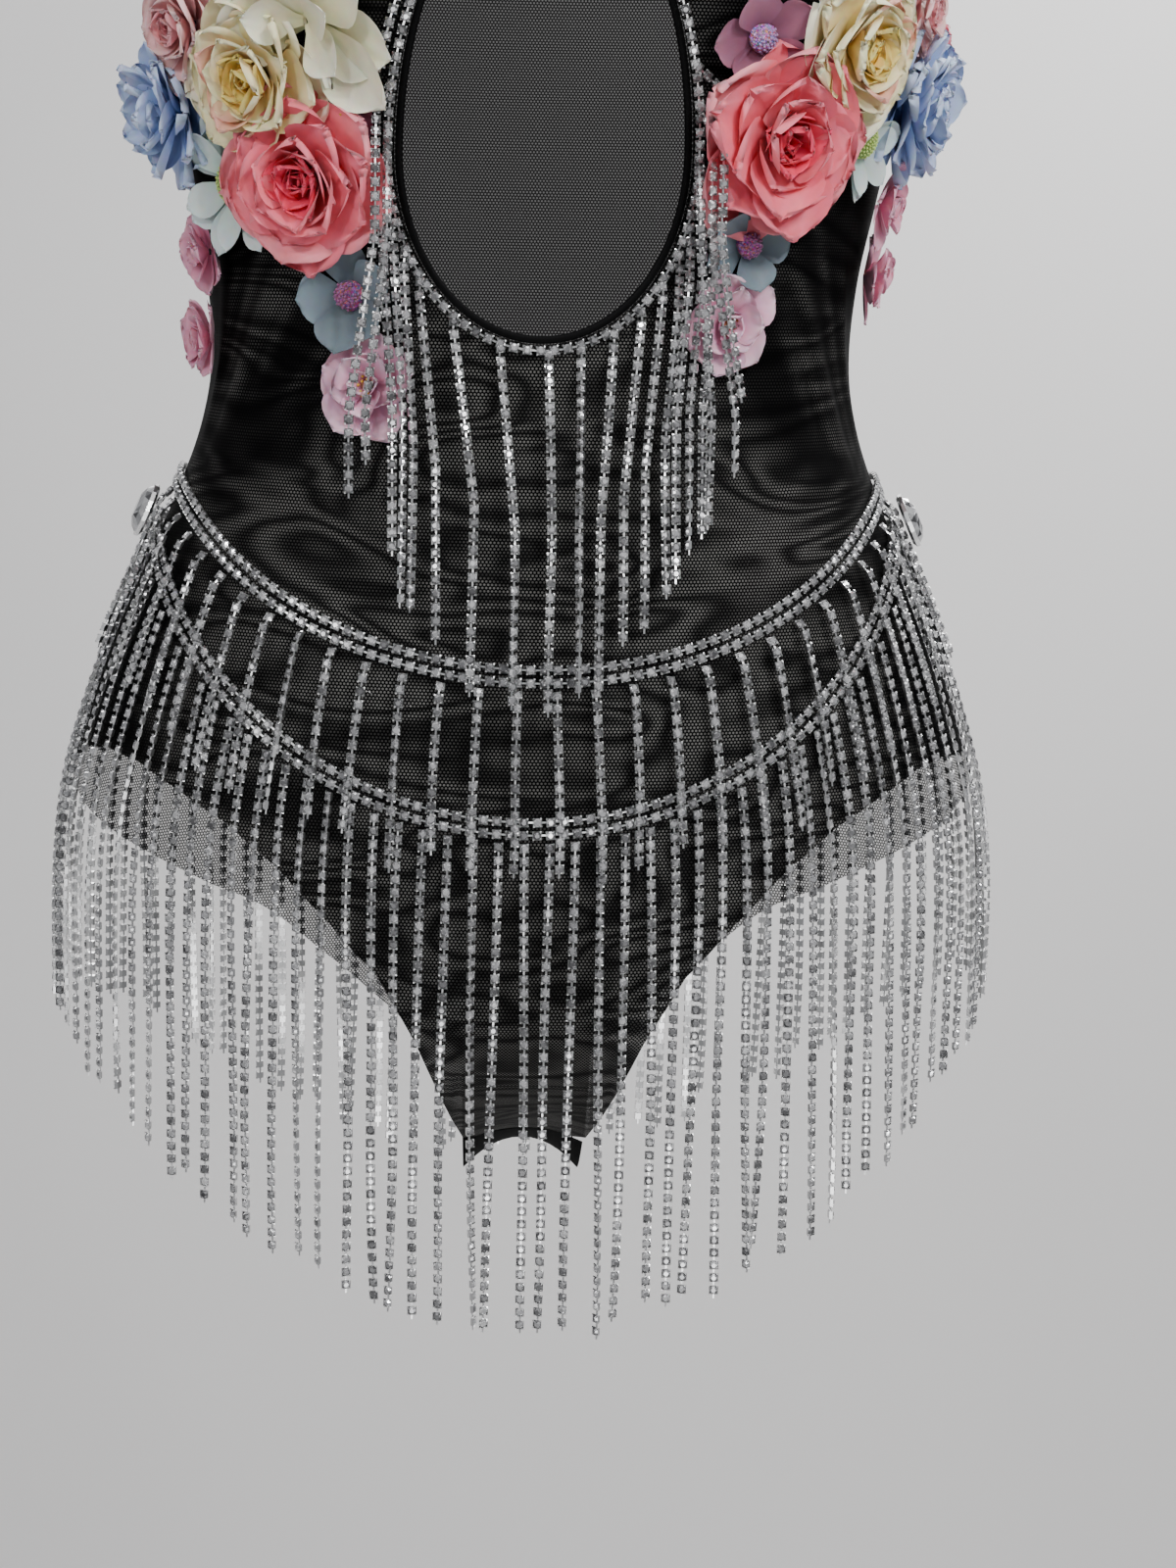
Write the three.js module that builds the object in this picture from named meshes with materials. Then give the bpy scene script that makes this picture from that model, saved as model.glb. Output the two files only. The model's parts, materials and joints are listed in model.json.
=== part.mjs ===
// Sleeveless bodysuit of black power mesh in its worn form, with a keyhole, three chain fringes,
// two hip crystals and silk flowers. Millimetres, +Z up, front towards -Y, +X to the right seen
// from the front. The origin lies midway between the inner tops of the two shoulder straps.
// Heights called h are measured up from the natural waist; angles called a or t are in degrees
// round the body, 0 at centre front, +90 at the right side seam, 180 at centre back.
import * as THREE from 'three';

// ---------------------------------------------------------------- driving dimensions
const STRAP_TOP = 350;            // from the waist up to the inner top of a shoulder strap
const CLOTH = 1.0;                // wall of one mesh layer
const SEAM_GAP = 0.3;             // clear space between pieces that are sewn together
const BINDING_WIDTH = 2.7;        // flat width of a bound edge
const BINDING_THICK = 1.8;
const CUT_BACK = BINDING_WIDTH + SEAM_GAP; // how far a panel stops short of its bound edge
const STITCH_GAP = 0.6;           // between a panel's outside and what is sewn on it
const ON_CLOTH = CLOTH / 2 + STITCH_GAP;

const KEYHOLE = { bottom: 11, widest: 72, top: 165, halfWidth: 48 };
const STRAP_INNER = 62;           // strap edges at the shoulder, from the centre line
const STRAP_OUTER = 108;
const FRONT_NECK = { bottom: 232, straight: 330 };
const BACK_NECK = { bottom: 296, straight: 342 };
const ARMHOLE = { bottom: 190, straight: 300 };
const HIP_LINE = -120;            // level below which the rows slant towards the leg openings
const CROTCH_ANGLE = 7.2;         // half width of the gusset, as an angle at its section
const GUSSET_STATION = 2;         // section at which the gusset is sewn to front and back

const CHAIN_THICK = 2.0;          // cup chain, with stones about 3.1 wide
const STONE_PITCH = 4.7;
const STRAND_WIDTH = 2.8;
const BELT_HALF = 3.9;            // half width of the two chains that make one hip belt
const UPPER_BELT = { centre: -105, side: -44, skew: 0, strands: 60, length: 66 };
const LOWER_BELT = { centre: -158, side: -60, skew: 2.5, strands: 104, length: 180 };
const OVER_BELT = CHAIN_THICK + 1.0;   // what hangs over a belt passes this much further out
const OVER_FLOWER = 7.5;                // and over the two blossoms below the keyhole's sides
const OVER_STRAND = CHAIN_THICK + 0.7;  // and strands that hang in front of others, this much again
const KEYHOLE_STRAND_LENGTH = 126;
const FALL_LEVEL = 45;            // below this level the keyhole's strands swing to where they end
const FALL_HEIGHT = 60;           // over this height
// Strands round the keyhole: the angle on its rim where each starts, how far from the centre it
// first hangs and where it ends, stones more or less than the rest, and 1 if it hangs in front.
const KEYHOLE_STRANDS = [
  [-104, 57.0, 65.0, 3, 1], [-95, 53.2, 60.5, -3, 1], [-83, 54.6, 51.2, 0, 0],
  [-71, 51.1, 47.4, 1, 0], [-61, 47.4, 43.6, -1, 0], [-51, 42.0, 35.5, -1, 0],
  [-34, 30.2, 22.0, 0, 0], [-15, 14.0, 8.5, -1, 0], [3, 2.8, 4.5, -1, 0],
  [15, 14.0, 13.0, -2, 0], [28, 25.3, 21.5, -1, 0], [40, 34.8, 28.5, -3, 0],
  [51, 42.0, 36.0, -2, 0], [62, 47.7, 43.0, -2, 0], [71, 51.3, 47.2, -1, 0],
  [80, 55.0, 51.2, -1, 0], [88, 58.6, 55.2, 0, 0], [94, 53.0, 59.3, 1, 1],
  [101, 56.7, 66.5, 0, 1], [109, 60.4, 70.5, -2, 1],
].map(([angle, near, far, stones, front]) => ({ angle, near, far, stones, front }));

// Body sections from the crotch to the shoulder: height, half width, depth in front of and behind
// the side seam, how far the seam line itself lies back, and the droop of the section's flanks
// (how far a point 100 mm off the centre line lies below the centre).
const SECTIONS = [
  { h: -300, w: 176, front: 0, back: 0, mid: 4, droop: 290 },
  { h: -296, w: 176, front: 22, back: 26, mid: 4, droop: 240 },
  { h: -284, w: 176, front: 48, back: 54, mid: 2, droop: 110 },
  { h: -265, w: 176, front: 73, back: 84, mid: 1, droop: 30 },
  { h: -240, w: 176, front: 91, back: 105, mid: 0, droop: 0 },
  { h: -216, w: 177, front: 100, back: 117, mid: 0, droop: 0 },
  { h: -185, w: 176, front: 104, back: 120, mid: 0, droop: 0 },
  { h: -156, w: 172, front: 105, back: 117, mid: 0, droop: 0 },
  { h: -125, w: 163, front: 105, back: 109, mid: 0, droop: 0 },
  { h: -98, w: 153, front: 103, back: 99, mid: 0, droop: 0 },
  { h: -75, w: 143, front: 100, back: 92, mid: 0, droop: 0 },
  { h: -50, w: 132, front: 95, back: 85, mid: 0, droop: 0 },
  { h: -25, w: 123, front: 90, back: 79, mid: 0, droop: 0 },
  { h: 0, w: 119, front: 86, back: 76, mid: 0, droop: 0 },
  { h: 30, w: 121, front: 88, back: 77, mid: 0, droop: 0 },
  { h: 60, w: 127, front: 91, back: 82, mid: 0, droop: 0 },
  { h: 90, w: 133, front: 94, back: 88, mid: 0, droop: 0 },
  { h: 120, w: 138, front: 98, back: 91, mid: 0, droop: 0 },
  { h: 150, w: 142, front: 102, back: 93, mid: 0, droop: 0 },
  { h: 180, w: 145, front: 104, back: 94, mid: 0, droop: 0 },
  { h: 210, w: 148, front: 102, back: 94, mid: 0, droop: 1 },
  { h: 245, w: 150, front: 96, back: 91, mid: 0, droop: 3 },
  { h: 280, w: 150, front: 86, back: 84, mid: 0, droop: 7 },
  { h: 310, w: 150, front: 73, back: 73, mid: 0, droop: 11 },
  { h: 335, w: 150, front: 56, back: 57, mid: 0, droop: 15 },
  { h: 352, w: 150, front: 37, back: 38, mid: 0, droop: 18 },
  { h: 362, w: 150, front: 18, back: 19, mid: 0, droop: 20 },
  { h: 365, w: 150, front: 0, back: 0, mid: 0, droop: 20 },
];
const TOP_STATION = SECTIONS.length - 1;
const BUST = { x: 76, h: 148, rise: 18, wide: 42, tall: 52 }; // cup shape, both sides

// Leg opening: height of the cut edge at each angle from centre front or centre back.
const LEG_EDGE = [
  { a: 7.2, front: -284, back: -284 },
  { a: 10, front: -265, back: -279 },
  { a: 13.5, front: -240, back: -271 },
  { a: 18, front: -214, back: -262 },
  { a: 24, front: -195, back: -251 },
  { a: 31, front: -176, back: -240 },
  { a: 39, front: -161.5, back: -228 },
  { a: 48, front: -151.5, back: -215 },
  { a: 57, front: -144, back: -203 },
  { a: 66, front: -141.5, back: -191 },
  { a: 74, front: -143, back: -180 },
  { a: 82, front: -149, back: -168 },
  { a: 90, front: -157, back: -157 },
];
const FRONT_COLUMNS = [0, 3.6, 7.2, 10, 14, 20, 28, 37, 46, 55, 64, 73, 82, 90];
const BACK_COLUMNS = [0, 3.6, 7.2, 13.5, 24, 36, 50, 64, 77, 90];

// The largest drag folds: middle of the fold, its direction from level, length, width and height
// of its ridge. Every fold is repeated on the other side, and the back has the same waist folds.
const FOLDS = [
  { a: 42, h: 20, tilt: -62, length: 70, width: 7, rise: 1.3 },
  { a: 56, h: 12, tilt: -66, length: 84, width: 8, rise: 1.6 },
  { a: 70, h: 8, tilt: -72, length: 74, width: 7, rise: 1.2 },
  { a: 52, h: -40, tilt: 18, length: 56, width: 6, rise: 1.0 },
  { a: 14, h: -72, tilt: 4, length: 56, width: 6, rise: 0.9 },
  { a: 128, h: 10, tilt: 62, length: 84, width: 8, rise: 1.5 },
  { a: 146, h: -26, tilt: 28, length: 60, width: 7, rise: 1.2 },
];

// Silk flowers on the lower bust, read as: name, angle t, height h, radius, how far the head
// stands out, number of lobes round the edge, how deep they are cut as a part of the radius,
// colour.
const FLOWER_ROWS = [
  ['left_blush_rose', -60, 116, 21, 16, 6, 0.10, 0xe9c0bd],
  ['left_blue_hydrangea', -70, 88, 24, 17, 7, 0.08, 0x9db4dc],
  ['left_cream_rose', -44, 98, 26, 17, 5, 0.10, 0xefdcae],
  ['left_ivory_magnolia', -34.5, 116, 24, 12, 5, 0.12, 0xe9e4d2],
  ['left_daisy', -54.5, 62, 20, 8, 8, 0.20, 0xdfe6e2],
  ['left_coral_rose', -37, 64, 27, 17, 5, 0.10, 0xe86f7b],
  ['left_wine_blossom', -29.5, 86, 9, 7, 5, 0.20, 0x9c4a63],
  ['left_grey_blossom', -32.5, 24, 17, 6, 5, 0.24, 0x7f93a0],
  ['left_pink_blossom', -29, -7.5, 17, 7, 5, 0.18, 0xdfa0b5],
  ['left_side_blossom_high', -71, 38, 14, 9, 5, 0.22, 0xd98aa0],
  ['left_side_blossom_low', -75, 7, 15, 9, 5, 0.22, 0xd98aa0],
  ['right_mauve_blossom', 31.5, 113, 16, 8, 5, 0.22, 0xb06f8c],
  ['right_coral_rose', 36, 81, 32, 18, 6, 0.08, 0xe86f7b],
  ['right_cream_rose', 49, 112, 28, 17, 5, 0.12, 0xefdcae],
  ['right_blush_rose', 70, 128, 17, 15, 6, 0.10, 0xe9c0bd],
  ['right_coral_carnation', 94, 117, 18, 22, 7, 0.10, 0xdf6577],
  ['right_blue_hydrangea', 75, 96, 26, 20, 7, 0.08, 0x9db4dc],
  ['right_daisy', 57, 82, 18, 8, 8, 0.20, 0xdfe6e2],
  ['right_grey_blossom', 34.5, 44, 16, 6, 5, 0.24, 0x7f93a0],
  ['right_pink_blossom', 31.7, 17, 17, 7, 5, 0.18, 0xdfa0b5],
  ['right_side_blossom_high', 76, 60, 14, 12, 5, 0.22, 0xd98aa0],
  ['right_side_blossom_low', 80, 34, 16, 11, 5, 0.22, 0xd98aa0],
];
const FLOWERS = FLOWER_ROWS.map(([name, t, h, radius, stand, lobes, cut, color]) => (
  { name, t, h, radius, stand, lobes, cut, color }
));
const FLOWER_LIFT = CLOTH / 2 + 0.5;   // underside of a flower above the middle of the cloth
const FLOWER_GAP = 0.5;               // between two flowers that crowd each other
const FALL_ZONE = 62.5;               // high flowers keep this far from the centre line, clear of
                                      // the strands that fall past the keyhole
const RIM_ZONE = 11;                  // and flat ones this far from the keyhole's edge
const CRYSTAL = { angle: 84, height: -60, long: 21, wide: 15, thick: 6, sides: 14, lift: 6.2 };

// ---------------------------------------------------------------- small helpers
const rad = THREE.MathUtils.degToRad;
const lerp = THREE.MathUtils.lerp;
const clamp = THREE.MathUtils.clamp;

// Repeatable scatter between -1 and 1 for the n-th strand.
function scatter(n, salt) {
  const wave = Math.sin(n * 12.9898 + salt * 78.233) * 43758.5453;
  return 2 * (wave - Math.floor(wave)) - 1;
}

// Smooth curve through table values at whole-number stations.
function smooth(before, from, to, after, f) {
  const start = (to - before) / 2;
  const end = (after - from) / 2;
  const f2 = f * f;
  const f3 = f2 * f;
  return (2 * f3 - 3 * f2 + 1) * from + (f3 - 2 * f2 + f) * start
    + (3 * f2 - 2 * f3) * to + (f3 - f2) * end;
}

function section(station) {
  const s = clamp(station, 0, TOP_STATION);
  const i = Math.min(Math.floor(s), TOP_STATION - 1);
  const rows = [i - 1, i, i + 1, i + 2].map((k) => SECTIONS[clamp(k, 0, TOP_STATION)]);
  const value = (key) => smooth(rows[0][key], rows[1][key], rows[2][key], rows[3][key], s - i);
  return {
    h: value('h'), w: value('w'), front: value('front'),
    back: value('back'), mid: value('mid'), droop: value('droop'),
  };
}

// The station at which a point of the section that lies x off the centre line has height h.
function stationAt(h, x = 0) {
  let low = 0;
  let high = TOP_STATION;
  for (let step = 0; step < 40; step += 1) {
    const middle = (low + high) / 2;
    const sec = section(middle);
    if (sec.h - sec.droop * (x / 100) ** 2 < h) low = middle;
    else high = middle;
  }
  return (low + high) / 2;
}

function columnValue(table, a, key) {
  const i = Math.max(1, table.findIndex((row) => row.a >= a));
  const f = (a - table[i - 1].a) / (table[i].a - table[i - 1].a);
  return lerp(table[i - 1][key], table[i][key], clamp(f, 0, 1));
}

// ---------------------------------------------------------------- the body surface
function foldRise(t, h, girth) {
  let rise = 0;
  for (const fold of FOLDS) {
    const across = (Math.abs(t) - fold.a) * girth * rad(1);
    const up = h - fold.h;
    const tilt = rad(fold.tilt);
    const along = across * Math.cos(tilt) + up * Math.sin(tilt);
    const beside = up * Math.cos(tilt) - across * Math.sin(tilt);
    const fade = Math.exp(-((along * 2 / fold.length) ** 4));
    rise += fold.rise * fade * Math.exp(-((beside / fold.width) ** 2));
  }
  return rise;
}

function bare(t, station) {
  const sec = section(station);
  const angle = rad(t);
  const isFront = Math.cos(angle) > 0;
  const x = sec.w * Math.sin(angle);
  let depth = (isFront ? sec.front : sec.back) * Math.cos(angle);
  if (isFront) {
    const aside = (Math.abs(x) - BUST.x) / BUST.wide;
    const above = (sec.h - BUST.h) / BUST.tall;
    depth += BUST.rise * Math.exp(-aside * aside - above * above) * Math.cos(angle);
  }
  return new THREE.Vector3(x, sec.mid - depth, sec.h - sec.droop * (x / 100) ** 2);
}

function outward(t, station) {
  const step = 0.02;
  const s = clamp(station, step, TOP_STATION - step);
  const round = bare(t + 0.5, s).sub(bare(t - 0.5, s));
  const upward = bare(t, s + step).sub(bare(t, s - step));
  return round.cross(upward).normalize();
}

// A point of the cloth's middle surface, moved out by lift.
function surface(t, station, lift = 0) {
  const sec = section(station);
  const fold = foldRise(t, sec.h, (sec.w + sec.front) / 2);
  return bare(t, station).addScaledVector(outward(t, station), lift + fold);
}

// ---------------------------------------------------------------- closed bodies
class Body {
  constructor() {
    this.points = [];
    this.faces = [];
  }

  add(point) {
    this.points.push(point);
    return this.points.length - 1;
  }

  quad(a, b, c, d) {
    this.faces.push([a, b, c], [a, c, d]);
  }

  mesh(name, color, roughness = 0.8, metalness = 0) {
    const geometry = new THREE.BufferGeometry();
    const flat = this.points.flatMap((p) => [p.x, p.y, p.z]);
    geometry.setAttribute('position', new THREE.Float32BufferAttribute(flat, 3));
    geometry.setIndex(this.faces.flat());
    geometry.computeVertexNormals();
    const material = new THREE.MeshStandardMaterial({ color, roughness, metalness });
    const mesh = new THREE.Mesh(geometry, material);
    mesh.name = name;
    return mesh;
  }
}

// A wall of even thickness round a middle sheet. Sheet vertices are { p, n }; faces are quads of
// vertex numbers, anticlockwise seen from outside.
function thicken(sheet, quads, thickness) {
  const body = new Body();
  const outer = sheet.map(({ p, n }) => body.add(p.clone().addScaledVector(n, thickness / 2)));
  const inner = sheet.map(({ p, n }) => body.add(p.clone().addScaledVector(n, -thickness / 2)));
  const edges = new Map();
  for (const quad of quads) {
    body.quad(...quad.map((k) => outer[k]));
    body.quad(...quad.map((k) => inner[k]).reverse());
    quad.forEach((k, i) => {
      const next = quad[(i + 1) % 4];
      if (!edges.delete(`${next}_${k}`)) edges.set(`${k}_${next}`, [k, next]);
    });
  }
  for (const [from, to] of edges.values()) body.quad(outer[to], outer[from], inner[from], inner[to]);
  return body;
}

// Frames along an edge or seam line: its point, the cloth's normal there, the line's direction
// and the direction across it in the cloth, to the left of the way it runs seen from outside.
function frames(line, closed) {
  const points = line.map(({ t, s }) => surface(t, s));
  return line.map(({ t, s }, i) => {
    const last = line.length - 1;
    const before = points[i > 0 ? i - 1 : (closed ? last : 0)];
    const after = points[i < last ? i + 1 : (closed ? 0 : last)];
    const along = after.clone().sub(before).normalize();
    const normal = outward(t, s);
    const across = normal.clone().cross(along).normalize();
    return { t, s, p: points[i], normal, along, across };
  });
}

// A flat band along frames, from one distance across the line to another and between two lifts.
function band(body, line, from, to, low, high, closed) {
  const corner = (f, side, lift) => body.add(
    f.p.clone().addScaledVector(f.across, side).addScaledVector(f.normal, lift),
  );
  const rings = line.map((f) => [
    corner(f, from, low), corner(f, to, low), corner(f, to, high), corner(f, from, high),
  ]);
  return { rings, closed };
}

function bandFaces(body, { rings, closed }, openAt = () => false) {
  const count = closed ? rings.length : rings.length - 1;
  for (let i = 0; i < count; i += 1) {
    const a = rings[i];
    const b = rings[(i + 1) % rings.length];
    for (let k = 0; k < 4; k += 1) {
      const next = (k + 1) % 4;
      if (!(k === 3 && openAt(i))) body.quad(a[k], a[next], b[next], b[k]);
    }
  }
}

// ---------------------------------------------------------------- edges of the openings
function keyholePoint(angle) {
  const rise = angle < 90 ? KEYHOLE.widest - KEYHOLE.bottom : KEYHOLE.top - KEYHOLE.widest;
  const h = KEYHOLE.widest - rise * Math.cos(rad(angle));
  return { x: KEYHOLE.halfWidth * Math.sin(rad(angle)), h };
}

function angleOf(x, station) {
  return THREE.MathUtils.radToDeg(Math.asin(clamp(x / section(station).w, -1, 1)));
}

function neckHalf(h, neck) {
  if (h <= neck.bottom) return 0;
  if (h >= neck.straight) return STRAP_INNER;
  return STRAP_INNER * Math.sqrt(1 - ((neck.straight - h) / (neck.straight - neck.bottom)) ** 2);
}

// Outer limit of a panel, in degrees from its own centre line.
function armholeAngle(h, station) {
  if (h <= ARMHOLE.bottom) return 90;
  const strap = angleOf(STRAP_OUTER, station);
  const g = clamp((h - ARMHOLE.bottom) / (ARMHOLE.straight - ARMHOLE.bottom), 0, 1);
  return strap + (90 - strap) * (1 - Math.sqrt(1 - (1 - g) ** 2));
}

const KEYHOLE_STEPS = 12;
const NECK_STEPS = 5;
const NECK_TOP = [348, 360, 365];
const ARM_ROWS = [190, 194, 208];
const quarterRows = (bottom, straight) => Array.from({ length: NECK_STEPS + 1 }, (_, i) => (
  straight - (straight - bottom) * Math.cos(rad(90 * i / NECK_STEPS))
));

function rowAt(h, inner = () => 0) {
  const s = h >= SECTIONS[TOP_STATION].h ? TOP_STATION : stationAt(h);
  return { h, s, inner: angleOf(inner(h), s), outer: armholeAngle(h, s), edge: null };
}

function frontRows() {
  const rows = [-98, -75, -50, -25, -6].map((h) => rowAt(h));
  for (let i = 0; i <= KEYHOLE_STEPS; i += 1) {
    const { x, h } = keyholePoint(180 * i / KEYHOLE_STEPS);
    rows.push({ ...rowAt(h, () => x), edge: 'keyhole' });
  }
  rows.push(...ARM_ROWS.map((h) => rowAt(h)));
  const neck = [...quarterRows(FRONT_NECK.bottom, FRONT_NECK.straight), ...NECK_TOP];
  rows.push(...neck.map((h) => ({ ...rowAt(h, (at) => neckHalf(at, FRONT_NECK)), edge: 'neck' })));
  return rows;
}

function backRows() {
  const rows = [-92, -64, -34, 0, 38, 76, 114, 152, ...ARM_ROWS, 236, 266].map((h) => rowAt(h));
  const neck = [...quarterRows(BACK_NECK.bottom, BACK_NECK.straight), ...NECK_TOP.slice(1)];
  rows.push(...neck.map((h) => ({ ...rowAt(h, (at) => neckHalf(at, BACK_NECK)), edge: 'neck' })));
  return rows;
}

// Rows below the hip line, as shares of the way up from the leg opening or the gusset seam.
const SLANTED_ROWS = [0, 1, 2, 3, 4, 5, 6].map((k) => ({ slant: k / 6 }));
const FRONT_ROWS = frontRows();
const BACK_ROWS = backRows();
const worldAngle = (a, sign, isBack) => sign * (isBack ? 180 - a : a);

// The closed line of the keyhole, and those of the neck and of one armhole, through the rows.
function keyholeLine() {
  const side = FRONT_ROWS.filter((row) => row.edge === 'keyhole');
  const right = side.map((row) => ({ t: row.inner, s: row.s }));
  const left = side.slice(1, -1).reverse().map((row) => ({ t: -row.inner, s: row.s }));
  return [...right, ...left];
}

function neckLine() {
  const front = FRONT_ROWS.filter((row) => row.edge === 'neck');
  const back = BACK_ROWS.filter((row) => row.edge === 'neck');
  const half = (sign) => [
    ...front.slice(1).map((row) => ({ t: sign * row.inner, s: row.s })),
    ...back.slice(1, -1).reverse().map((row) => ({ t: sign * (180 - row.inner), s: row.s })),
  ];
  return [
    { t: 0, s: front[0].s }, ...half(1), { t: 180, s: back[0].s }, ...half(-1).reverse(),
  ];
}

function armholeLine(sign) {
  const front = FRONT_ROWS.filter((row) => row.h >= ARMHOLE.bottom);
  const back = BACK_ROWS.filter((row) => row.h > ARMHOLE.bottom);
  const loop = [
    ...front.map((row) => ({ t: sign * row.outer, s: row.s })),
    ...back.slice(0, -1).reverse().map((row) => ({ t: sign * (180 - row.outer), s: row.s })),
  ];
  return sign > 0 ? loop : loop.reverse();
}

const EDGE_LINES = {
  keyhole: frames(keyholeLine(), true),
  neck: frames(neckLine(), true),
  armhole_r: frames(armholeLine(1), true),
  armhole_l: frames(armholeLine(-1), true),
};
// The cloth lies to the right of the keyhole's and the neck's line, and to the left of an
// armhole's, because of the way each one runs.
const CLOTH_SIDE = { keyhole: -1, neck: -1, armhole_r: 1, armhole_l: 1 };

function edgeVertex(edge, t, s) {
  const near = EDGE_LINES[edge].reduce((best, f) => {
    const miss = Math.abs(Math.sin(rad((f.t - t) / 2))) * 100 + Math.abs(f.s - s);
    return miss < best.miss ? { f, miss } : best;
  }, { f: null, miss: Infinity }).f;
  const p = near.p.clone().addScaledVector(near.across, CLOTH_SIDE[edge] * CUT_BACK);
  return { p, n: near.normal };
}

// A row as the panel is cut: its level and limits follow the panel's own edges, which lie back
// from the bound edges.
function cutRow(row, isBack) {
  const angleOfPoint = (p, s) => angleOf(Math.abs(p.x), s);
  let { s, inner, outer } = row;
  if (row.s === TOP_STATION) {
    inner = angleOf(STRAP_INNER + CUT_BACK, s);
    outer = angleOf(STRAP_OUTER - CUT_BACK, s);
    return { s, inner, outer };
  }
  if (row.edge) {
    const { p } = edgeVertex(row.edge, worldAngle(row.inner, 1, isBack), row.s);
    s = stationAt(p.z, p.x);
    inner = angleOfPoint(p, s);
  }
  if (row.h >= ARMHOLE.bottom) {
    const { p } = edgeVertex('armhole_r', worldAngle(row.outer, 1, isBack), row.s);
    if (!row.edge) s = stationAt(p.z, p.x);
    outer = row.h === ARMHOLE.bottom ? 90 : angleOfPoint(p, s);
  }
  return { s, inner, outer };
}

// ---------------------------------------------------------------- cloth panels
function panel(name, rows, columns, isBack, color) {
  const sheet = [];
  const quads = [];
  const shared = new Map();
  const put = (key, vertex) => {
    if (!shared.has(key)) shared.set(key, sheet.push(vertex) - 1);
    return shared.get(key);
  };
  const seam = (x) => 90 - THREE.MathUtils.radToDeg(SEAM_GAP / 2 / x);
  const legKey = isBack ? 'back' : 'front';
  const gussetStation = GUSSET_STATION + 0.012;
  const hipStation = stationAt(HIP_LINE);
  const all = [...SLANTED_ROWS, ...rows];

  const vertexNumber = (row, i, j, sign) => {
    const a = columns[j];
    const last = j === columns.length - 1;
    if (row.slant !== undefined) {
      const leg = stationAt(columnValue(LEG_EDGE, Math.max(a, CROTCH_ANGLE), legKey));
      const foot = a <= CROTCH_ANGLE ? gussetStation : leg;
      const s = lerp(foot, hipStation, row.slant);
      const t = worldAngle(last ? seam(section(s).front) : a, sign, isBack);
      return put(`${i}_${j}_${j ? sign : 0}`, { p: surface(t, s), n: outward(t, s) });
    }
    const centre = j === 0 && row.inner < 0.01;
    const key = `${i}_${j}_${centre ? 0 : sign}`;
    const share = a / 90;
    if (j === 0 && row.edge) {
      return put(key, edgeVertex(row.edge, worldAngle(row.inner, sign, isBack), row.s));
    }
    const loop = sign > 0 ? 'armhole_r' : 'armhole_l';
    if (last && row.h >= ARMHOLE.bottom) {
      return put(key, edgeVertex(loop, worldAngle(row.outer, sign, isBack), row.s));
    }
    const { s, inner, outer } = cutRow(row, isBack);
    const turned = last ? seam(section(s).front) : inner + (outer - inner) * share;
    const t = worldAngle(turned, sign, isBack);
    return put(key, { p: surface(t, s), n: outward(t, s) });
  };

  for (const sign of [1, -1]) {
    const grid = all.map((row, i) => columns.map((_, j) => vertexNumber(row, i, j, sign)));
    const flip = (sign < 0) !== isBack;
    for (let i = 0; i + 1 < all.length; i += 1) {
      for (let j = 0; j + 1 < columns.length; j += 1) {
        const quad = [grid[i][j], grid[i][j + 1], grid[i + 1][j + 1], grid[i + 1][j]];
        quads.push(flip ? [quad[0], quad[3], quad[2], quad[1]] : quad);
      }
    }
  }
  const shoulder = isBack ? SEAM_GAP / 2 : -SEAM_GAP / 2;
  const topY = SECTIONS[TOP_STATION].mid;
  for (const vertex of sheet) {
    if (Math.abs(vertex.p.y - topY) < 0.4 && vertex.p.z > SECTIONS[TOP_STATION].h - 40) {
      vertex.p.y = topY + shoulder;
    }
    const nearSeam = Math.abs(vertex.p.y) < 4 && Math.abs(vertex.p.z - ARMHOLE.bottom) < 6;
    if (nearSeam && isBack) vertex.p.y = Math.max(vertex.p.y, SEAM_GAP / 2);
    if (nearSeam && !isBack) vertex.p.y = Math.min(vertex.p.y, -SEAM_GAP / 2);
  }
  return thicken(sheet, quads, CLOTH).mesh(name, color, 0.85);
}

function gusset(name, color) {
  const sheet = [];
  const quads = [];
  const across = [-1, -0.5, 0, 0.5, 1].map((f) => f * CROTCH_ANGLE);
  const depths = [1.99, 1.4, 0.8, 0.25];
  const rows = [
    ...depths.map((s) => ({ s, isBack: false })),
    ...depths.slice().reverse().map((s) => ({ s, isBack: true })),
  ];
  for (const { s, isBack } of rows) {
    for (const a of across) {
      const t = isBack ? 180 - a : a;
      sheet.push({ p: bare(t, s), n: outward(t, s) });
    }
  }
  const wide = across.length;
  for (let i = 0; i + 1 < rows.length; i += 1) {
    for (let j = 0; j + 1 < wide; j += 1) {
      const k = i * wide + j;
      quads.push([k, k + wide, k + wide + 1, k + 1]);
    }
  }
  return thicken(sheet, quads, CLOTH).mesh(name, color, 0.9);
}

// The strip that lines the centre front, on the front panel's own rows and columns, inside it.
function lining(name, color) {
  const inside = -(CLOTH + SEAM_GAP);
  const foot = GUSSET_STATION + 0.012;
  const stations = [
    ...SLANTED_ROWS.map((row) => lerp(foot, stationAt(HIP_LINE), row.slant)),
    FRONT_ROWS[0].s,
  ];
  const half = FRONT_COLUMNS.filter((a) => a > 0 && a <= CROTCH_ANGLE);
  const angles = [...half.map((a) => -a).reverse(), 0, ...half];
  const sheet = [];
  const quads = [];
  for (const s of stations) {
    for (const t of angles) {
      const n = outward(t, s);
      sheet.push({ p: surface(t, s, inside), n });
    }
  }
  const wide = angles.length;
  for (let i = 0; i + 1 < stations.length; i += 1) {
    for (let j = 0; j + 1 < wide; j += 1) {
      const k = i * wide + j;
      const quad = [k, k + 1, k + wide + 1, k + wide];
      quads.push(j < half.length ? [...quad.slice(1), quad[0]] : quad);
    }
  }
  return thicken(sheet, quads, CLOTH).mesh(name, color, 0.9);
}

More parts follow.
